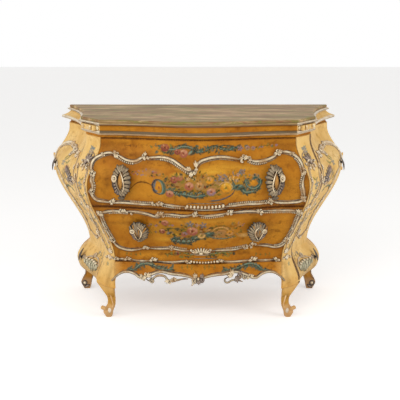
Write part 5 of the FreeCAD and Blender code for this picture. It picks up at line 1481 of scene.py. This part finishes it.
def post_relief():
    relief = Relief()
    inner, outer, low_inner, low_outer = ([on_post(*place) for place in run] for run in (
        ((0.17, 702), (0.10, 676), (0.09, 650), (0.15, 634), (0.09, 616), (0.09, 590), (0.10, 556),
         (0.13, 526)),
        ((0.70, 710), (0.74, 680), (0.68, 652), (0.73, 632), (0.69, 606), (0.57, 573), (0.46, 544),
         (0.33, 522), (0.18, 514)),
        ((0.14, 516), (0.08, 482), (0.09, 440), (0.10, 400), (0.12, 350), (0.16, 300)),
        ((0.22, 514), (0.46, 478), (0.62, 430), (0.72, 380), (0.70, 330), (0.52, 296), (0.26, 284))))
    for run, side in ((inner, -1), (outer, 1), (low_inner, -1), (low_outer, 1)):
        relief.bead(run, 4.4, 0.6)
        relief.bead([(u - side * 6.4, v) for u, v in run[1:-1]], 1.9, 0.6)
    for run, side in ((outer[3:], 1), (low_outer[2:], 1), (inner[:4], -1)):
        relief.gadroons(run, 9.0, 5.0, 3.8, -side, 5.0, (0.05, 0.9), 1.2)
    x, y = on_post(0.33, 728)
    for i in range(6):
        a = 2.5 - 3.6 * i / 5
        relief.lobe(x - 2 + math.cos(a) * 14, y - 4 + math.sin(a) * 12, 15, 4.8, a, 9.0, 1.5, -0.2,
                    0.2, 1)
    relief.lobe(x, y - 2, 19, 15, 0.2, 8.0, 0, 0.0, 0.0, 1)
    relief.bead([(x - 30, y - 16), (x - 29, y + 10), (x - 10, y + 27), (x + 14, y + 22),
                 (x + 32, y + 2)],
                3.4)
    relief.bead([(x - 18, y - 16), (x - 4, y - 6), (x + 12, y - 12), (x + 26, y - 6)], 3.6, lift=5)
    relief.knots((x + dx, y + dy, size, turn) for dx, dy, size, turn in (
        (-10, -30, 16, -1.9), (6, -34, 18, -1.4), (22, -27, 16, -0.9), (-22, -20, 12, 2.6),
        (34, -14, 13, 0.4)))
    relief.scroll(x - 6, y - 24, 9, 3, 1.57, 1.2, 3.4)
    relief.knots((*on_post(share, z), size, turn) for share, z, size, turn in (
        (0.84, 690, 15, 1.4), (0.80, 650, 14, -1.5), (0.85, 628, 15, 1.4), (0.60, 566, 14, -2.2),
        (0.16, 514, 22, 1.2), (0.30, 518, 18, 0.2), (0.10, 646, 13, -1.5), (0.13, 632, 12, 1.5),
        (0.09, 586, 13, 1.5), (0.10, 470, 14, 1.5), (0.58, 440, 15, -1.2), (0.70, 386, 15, 1.9),
        (0.11, 398, 14, -1.5), (0.13, 342, 14, 1.5), (0.70, 334, 14, 1.2)))
    x, y = on_post(0.24, 286)
    relief.fan(x, y, 30, 1.9, 5, 1.8, 7.0)
    relief.fan(x + 6, y - 10, 28, -1.3, 5, 1.9, 7.0)
    relief.scroll(x + 10, y + 6, 10, 3, 0.4, 1.2, 3.6)
    foot = ((0.04, 264), (0.22, 266), (0.48, 263), (0.78, 254))
    relief.bead([on_post(*place) for place in foot], 5.0, 0.5)
    relief.knots([(*on_post(0.12, 264), 16, 0.3), (*on_post(0.62, 259), 15, 2.8)])
    return relief.finish("post_carving_right", "carcass", post_face, [silver_side, dusky_shell])


mirrored(post_relief())

# %% [markdown]
# ### Carving of the doors
# A long cartouche follows the swelling of each door: a curl at the top, a knotted bead down the
# rear edge, a dark shell at the front, and scrolls that draw together at the waist. Acanthus
# leaves lie on the lower swelling.


# %% Carving of the doors
def acanthus(relief, x, y, turn, size):
    """A leaf of three lobes, the middle one raised."""
    for part, high in ((0.0, 11.0), (0.55, 8.0), (-0.55, 8.0)):
        long = size * (1.0 - 0.3 * abs(part))
        relief.lobe_out(x + part * 9, y, long * 0.5, turn + part * 0.5, long * 0.55, 3.4, high, 1.0,
                        0.5, 0.3 * part, 2)


def shell_ribs(relief, x, y):
    for i in range(8):
        relief.lobe_out(x, y, 34, 1.35 + 2.0 * i / 7, 28, 5.0, 8.0, 0, -0.3, 0.0, 1)


door_carving = carved(
    (framed, [(24, 708), (50, 722), (86, 730), (124, 737), (168, 739)], -1, (0.2, 0.9), 5.0),
    (framed, [(150, 740), (196, 738), (236, 722), (252, 696), (242, 670), (206, 652), (156, 640)], -1,
     (0.1, 0.9), 9.0),
    (framed, [(166, 644), (134, 616), (114, 584), (108, 540)], 1, (0.2, 0.9), 6.5),
    (framed, [(110, 552), (103, 505), (104, 468), (116, 436)], 1, (0.1, 0.8), 5.0),
    (framed, [(112, 448), (128, 410), (144, 376), (160, 336)], 1, None, 5.0),
    (framed, [(164, 340), (146, 314), (116, 306), (88, 314), (68, 336)], -1, None, 4.6),
    (framed, [(70, 330), (44, 380), (18, 436), (-6, 496)], -1, (0.3, 1.0), 4.4),
    (framed, [(-4, 486), (-24, 534), (-38, 576), (-44, 616)], -1, None, 4.4),
    (framed, [(-42, 604), (-58, 646), (-56, 686), (-34, 706), (4, 712)], -1, None, 3.6),
    (scroll, 84, 708, 13, 4, 1.2, -1.3, 4.6),
    (knots, [(94, 722, 22, 0.6), (62, 716, 16, 2.2), (14, 712, 24, 1.0), (-2, 722, 15, 2.4),
             (160, 738, 20, 0.2), (244, 702, 22, -1.4), (236, 668, 20, -2.2), (158, 640, 22, 2.9),
             (116, 590, 18, -1.5), (106, 546, 20, 1.6), (104, 488, 16, -1.5), (112, 442, 20, 1.3),
             (140, 384, 16, 1.9), (162, 338, 24, -1.0), (112, 306, 18, 3.0), (66, 334, 24, 1.0),
             (18, 436, 18, 1.9), (-8, 496, 20, 1.9), (-42, 606, 22, 1.4), (-56, 668, 16, 1.6),
             (-30, 708, 16, 0.4)]),
    (shell_ribs, 34, 600), (lobe, 38, 596, 14, 11, 2.2, 8.0, 0, 0.0, 0.0, 1),
    (bead, [(66, 640), (70, 606), (56, 582), (20, 576), (-8, 590)], 4.4),
    (bead, [(8, 190), (34, 210), (62, 218), (88, 214)], 5.0, 0.6),
    (bead, [(84, 208), (104, 212), (128, 202), (156, 190)], 4.6, 0.6),
    (scroll, 14, 196, 11, 4, 1.4, 1.2, 4.0), (scroll, 88, 222, 12, 4, 4.4, 1.3, 4.2),
    (scroll, 152, 196, 11, 4, 1.4, -1.2, 4.0),
    (acanthus, 22, 196, -1.9, 30), (acanthus, 42, 204, -1.8, 42), (acanthus, 64, 206, -1.9, 54),
    (acanthus, 88, 204, -2.0, 56), (acanthus, 112, 200, -2.1, 44), (acanthus, 134, 194, -2.3, 30),
    *((lobe, x, 200 - abs(x - 76) * 0.1, 7, 5, -1.9, 12.0, 1.0, 0.2) for x in (32, 54, 76, 100, 122)),
).finish("door_leafwork_right", "door_right", door_face, [silver_side, dusky_shell, leafage],
         replaced=["door_carving_right"])
mirrored(door_carving)

# %% [markdown]
# ### Reeds of the corners
# Under each corner of the board a block is carved with short reeds, and a row of knobs runs along
# their heads. A bead follows the block's own surface: at each level a line of sight from outside
# finds the wood.

# %% Reeds of the corners
CORNER_LEVEL, SIGHT = 0.83, 0.15
REED_SHARES = (0.02, 0.26, 0.50, 0.74)


def block_line(share, levels):
    """Points down the front of the corner block, found from outside at each level."""
    ax, ay, bx, by = (float(end) for end in post_ends(np.array(CORNER_LEVEL)))
    out = Vector((by - ay, ax - bx, 0)).normalized()
    points = []
    for level in levels:
        start = Vector((ax + (bx - ax) * share, ay + (by - ay) * share, level * MM)) + out * SIGHT
        seen = [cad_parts[name].ray_cast(start, -out)
                for name in ("frieze", "corner_bracket_right")]
        places = [place for hit, place, normal, face in seen if hit]
        if places:
            points.append(min(places, key=lambda place: (place - start).length))
    return points


def ridges(name, lines, finish):
    """Thin beads through points in space, as one piece of the carcass."""
    meshes = []
    for points, radius in lines:
        count = len(points)
        radii = [radius * (0.5 + 0.5 * math.sin(math.pi * (i + 0.5) / count)) for i in range(count)]
        meshes.append(round_bead(points, radii, 4))
    return placed(name, as_mesh(joined(meshes), name, finish), "carcass", "silver_gilt_wood")


reeds = [(block_line(share, (873, 867, 861, 855)), 8.0) for share in REED_SHARES]
reeds += [(block_line(share, (874.5, 871.5)), 6.0) for share in REED_SHARES]
print("points of the reeds:", [len(points) for points, radius in reeds])
mirrored(ridges("corner_reeds_right", [reed for reed in reeds if len(reed[0]) > 1],
                silver_gilt_reeds))

# %% [markdown]
# ### Volutes of the rear legs
# A rear leg is sawn from a board, and its front is carved: a volute fills the foot, and a bead
# runs up both edges.

# %% Volutes of the rear legs
REAR_FRONT = BACK_Y - 0.040
FOOT_X = 555.5


def rear_face(u, v):
    return u, np.full(np.shape(u), REAR_FRONT), v


mirrored(carved(
    (scroll, FOOT_X, 29, 14, 5, -2.6, 1.5, 4.2, 1.0, 0.0, 1), (lobe, FOOT_X, 30, 9, 9, 0, 8, 0, 0),
    (lobe, FOOT_X - 10, 12, 17, 6, -0.5, 6, 0, 0.2, 0.3, 1),
    (bead, [(FOOT_X - 30, 34), (FOOT_X - 40, 66), (FOOT_X - 42, 96), (FOOT_X - 24, 128)], 3.0, 0.6),
    (bead, [(FOOT_X + 13, 44), (FOOT_X + 2, 62), (FOOT_X - 6, 84), (FOOT_X - 4, 106),
            (FOOT_X + 14, 130)], 3.0, 0.6),
).finish("rear_volute_right", "carcass", rear_face, [silver_side, dusky_shell]))

# %% [markdown]
# ### Beads and eyes of the front legs
# A ridge winds down each front leg from the knee to the ankle, and the foot ends in a scroll with
# a worn bright eye. A bead follows the leg's own surface: the leg is cut level at each height, and
# the point of the cut that lies furthest to one side is on the ridge. Where the leg meets the
# post, a knee closes the step: it is the hull of the post's foot and a cut through the leg below.

# %% Ridges of the legs
def cut_through(wood, level):
    """Points of a level cut through a solid, in metres."""
    bm = bmesh.new()
    bm.from_mesh(wood.data)
    bmesh.ops.bisect_plane(bm, geom=bm.verts[:] + bm.edges[:] + bm.faces[:],
                           plane_co=(0, 0, level * MM), plane_no=(0, 0, 1), clear_inner=True,
                           clear_outer=True)
    points = np.array([v.co[:] for v in bm.verts])
    bm.free()
    return points


def ridge_line(wood, stations):
    """One point a level, furthest in the direction given there in degrees; 270 faces front."""
    points = []
    for level, degrees in stations:
        ring = cut_through(wood, level)
        a = math.radians(degrees)
        points.append(Vector(ring[np.argmax(ring[:, 0] * math.cos(a) + ring[:, 1] * math.sin(a))]))
    return points


front_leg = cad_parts["front_leg_right"]
main_ridge = ridge_line(front_leg, ((130, 296), (118, 290), (106, 282), (94, 272), (82, 262),
                                    (70, 254), (58, 246), (46, 240)))
inner_ridge = ridge_line(front_leg, ((132, 214), (118, 212), (104, 210), (90, 206), (76, 204),
                                     (62, 204)))
mirrored(ridges("leg_ridges_right", [(main_ridge, 3.6), (inner_ridge, 2.6)], leg_ridge_gilt))

# %% Knees and eyes
KNEE_CUTS = (("front_post_right", 135.6), ("front_leg_right", 112), ("front_leg_right", 92))
EYE_NEAR, EYE_RADIUS, EYE_SHAPE = (0.394, -0.16, 0.040), 0.0075, (1, 1.5, 0.5, 1)


def knee():
    bm = bmesh.new()
    for name, level in KNEE_CUTS:
        for point in cut_through(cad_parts[name], level):
            bmesh.ops.create_vert(bm, co=point)
    made = bmesh.ops.convex_hull(bm, input=bm.verts[:])
    bmesh.ops.delete(bm, geom=list(set(made["geom_interior"] + made["geom_unused"])), context="VERTS")
    bmesh.ops.recalc_face_normals(bm, faces=bm.faces[:])
    print("faces of the knee:", len(bm.faces))
    return placed("front_knee_right", as_mesh(bm, "front_knee_right", leg_paint), "carcass",
                  "painted_wood")


def foot_eye():
    """A flat button on the scroll of the foot."""
    bm = bmesh.new()
    hit, place, normal, face = front_leg.closest_point_on_mesh(Vector(EYE_NEAR))
    lean = normal.to_track_quat("Z", "Y").to_matrix().to_4x4()
    bmesh.ops.create_uvsphere(bm, u_segments=16, v_segments=10, radius=EYE_RADIUS,
                              matrix=Matrix.Translation(place) @ lean @ Matrix.Diagonal(EYE_SHAPE))
    return placed("foot_eye_right", as_mesh(bm, "foot_eye_right", silver_plain), "carcass",
                  "silver_gilt_wood")


mirrored(knee())
mirrored(foot_eye())

# %% [markdown]
# ### Pulls of the doors
# Each door is opened by two small bronze leaves that stand off the wood on a short stem. A blade
# is a flattened ball with a pointed tip, tipped outward a little, with a rib along its middle.


# %% Pulls of the doors
def leaf_pull(relief, y, level, way):
    for long, wide, high, point in ((27, 9, 2.6, 0.4), (25, 2.4, 4.2, 0.2)):
        relief.lobe(y, level + way * 8, long, wide, math.pi / 2, high, 17, point * way, 0.0, 0,
                    -way * 5.0)
    relief.lobe(y, level, 5, 5, 0, 16, 3, 0.0)
    relief.lobe(y, level, 9, 9, 0, 4, 1, 0.0)


mirrored(carved((leaf_pull, 170, 648, -1), (leaf_pull, 170, 190, 1)).finish(
    "door_leaf_pulls_right", "door_right", door_face, [dark_bronze], "bronze", ["door_pulls_right"],
    24))

# %% [markdown]
# ### Hinges
# The leaves of a hinge are let into the wood. Only the knuckles stand free beside the swelling,
# where the pin must be straight, and they are short so that they keep close to it. Door and post
# carry one part each: two outer knuckles with the pin, and the one between them.

# %% Hinges
PIN_X, PIN_Y = 0.6836, BACK_Y - 0.042
KNUCKLE, LEAF_THICK, LEAF_DEEP, LEAF_ASIDE = 0.0030, 0.0016, 0.044, 0.0012
HINGE_SPANS = ((0.594, 0.608), (0.662, 0.676))
PLAY = 0.0003


def turned_bar(bm, radius, low, high, finial):
    middle = Matrix.Translation((PIN_X, PIN_Y, (low + high) / 2))
    bmesh.ops.create_cone(bm, cap_ends=True, segments=16, radius1=radius, radius2=radius,
                          depth=high - low, matrix=middle)
    for z in (low, high) if finial else ():
        bmesh.ops.create_uvsphere(bm, u_segments=12, v_segments=8, radius=radius * 0.9,
                                  matrix=Matrix.Translation((PIN_X, PIN_Y, z)))


def hinge_part(name, body, replaced, on_door):
    bm = bmesh.new()
    for low, high in HINGE_SPANS:
        third = (high - low) / 3
        for k in ((0, 2) if on_door else (1,)):
            turned_bar(bm, KNUCKLE, low + k * third + PLAY, low + (k + 1) * third - PLAY, on_door)
        y = PIN_Y + (-LEAF_ASIDE if on_door else LEAF_ASIDE)
        size = Matrix.Diagonal((LEAF_DEEP, LEAF_THICK, high - low - 0.001, 1))
        middle = Matrix.Translation((PIN_X - LEAF_DEEP / 2, y, (low + high) / 2))
        bmesh.ops.create_cube(bm, size=1.0, matrix=middle @ size)
    return placed(name, as_mesh(bm, name, side_plain), body, "bronze", [replaced])


for part, body, on_door in (("door", "door_right", True), ("post", "carcass", False)):
    right = hinge_part(part + "_hinge_knuckles_right", body, part + "_hinges_right", on_door)
    for made in (right, mirrored(right)):
        made.data.shade_flat()

# %% [markdown]
# ## Studio
# A plain pale floor, a white backdrop and three soft boxes, as in the photograph of a dealer.


# %% Light, camera and floor
def into_scene(name, data):
    obj = bpy.data.objects.new(name, data)
    bpy.context.scene.collection.objects.link(obj)
    return obj


LIT_PLACE = Vector((0, 0, 0.5))


def area_light(name, place, size, power, tint):
    data = bpy.data.lights.new(name, "AREA")
    data.shape = "RECTANGLE"
    data.size, data.size_y = size
    data.energy = power
    data.color = tint
    obj = into_scene(name, data)
    obj.location = place
    obj.rotation_euler = (LIT_PLACE - Vector(place)).to_track_quat("-Z", "Y").to_euler()


area_light("soft box above", (-1.2, -3.0, 2.6), (2.6, 1.8), 44, (1.0, 0.98, 0.95))
area_light("soft box left", (-3.0, -1.4, 1.5), (1.6, 2.2), 26, (1.0, 0.99, 0.97))
area_light("soft box right", (3.0, -1.4, 1.5), (1.6, 2.2), 37, (1.0, 0.99, 0.97))


def white_seen(tree, lit, seen):
    """One shader for plain light, and another where the camera, gloss or glass sees it."""
    path = tree.node("LightPath").outputs
    camera_ray, gloss, glass = (path[f"Is {way} Ray"] for way in ("Camera", "Glossy", "Transmission"))
    share = tree.math("MAXIMUM", tree.math("MAXIMUM", camera_ray, gloss), glass)
    return tree.node("MixShader", {0: share, 1: lit, 2: seen}).outputs[0]


def make_world():
    world = bpy.data.worlds.new("studio")
    bpy.context.scene.world = world
    world.use_nodes = True
    tree = Tree(world.node_tree)
    plain = world.node_tree.nodes["Background"]
    tree.put(plain.inputs["Color"], (1.0, 0.99, 0.97))
    tree.put(plain.inputs["Strength"], 0.5)
    white = tree.node("Background", {"Color": (1, 1, 1, 1), "Strength": 1.0})
    tree.put(world.node_tree.nodes["World Output"].inputs["Surface"],
             white_seen(tree, plain.outputs[0], white.outputs[0]))


def make_floor():
    bm = bmesh.new()
    bmesh.ops.create_grid(bm, x_segments=1, y_segments=1, size=12.0)
    material = bpy.data.materials.new("pale floor")
    material.use_nodes = True
    tree = Tree(material.node_tree)
    plain = material.node_tree.nodes["Principled BSDF"]
    tree.put(plain.inputs["Base Color"], (0.85, 0.845, 0.845))
    tree.put(plain.inputs["Roughness"], 0.9)
    glow = tree.node("Emission", {"Color": (1, 1, 1, 1), "Strength": 0.42}).outputs[0]
    both = tree.node("AddShader", {0: plain.outputs[0], 1: glow}).outputs[0]
    tree.put(material.node_tree.nodes["Material Output"].inputs["Surface"],
             white_seen(tree, plain.outputs[0], both))
    into_scene("floor", as_mesh(bm, "floor", material))


CAMERA_DIP = 0.2306
make_world()
make_floor()
camera = into_scene("camera", bpy.data.cameras.new("camera"))
bpy.context.scene.camera = camera
camera.location = (0, -4.1825, 1.4896)
camera.rotation_euler = (math.pi / 2 - CAMERA_DIP, 0, 0)
camera.data.sensor_width = 36
camera.data.lens = 85.71
camera.data.shift_x = 0.00425
bpy.context.scene.view_settings.view_transform = "Standard"
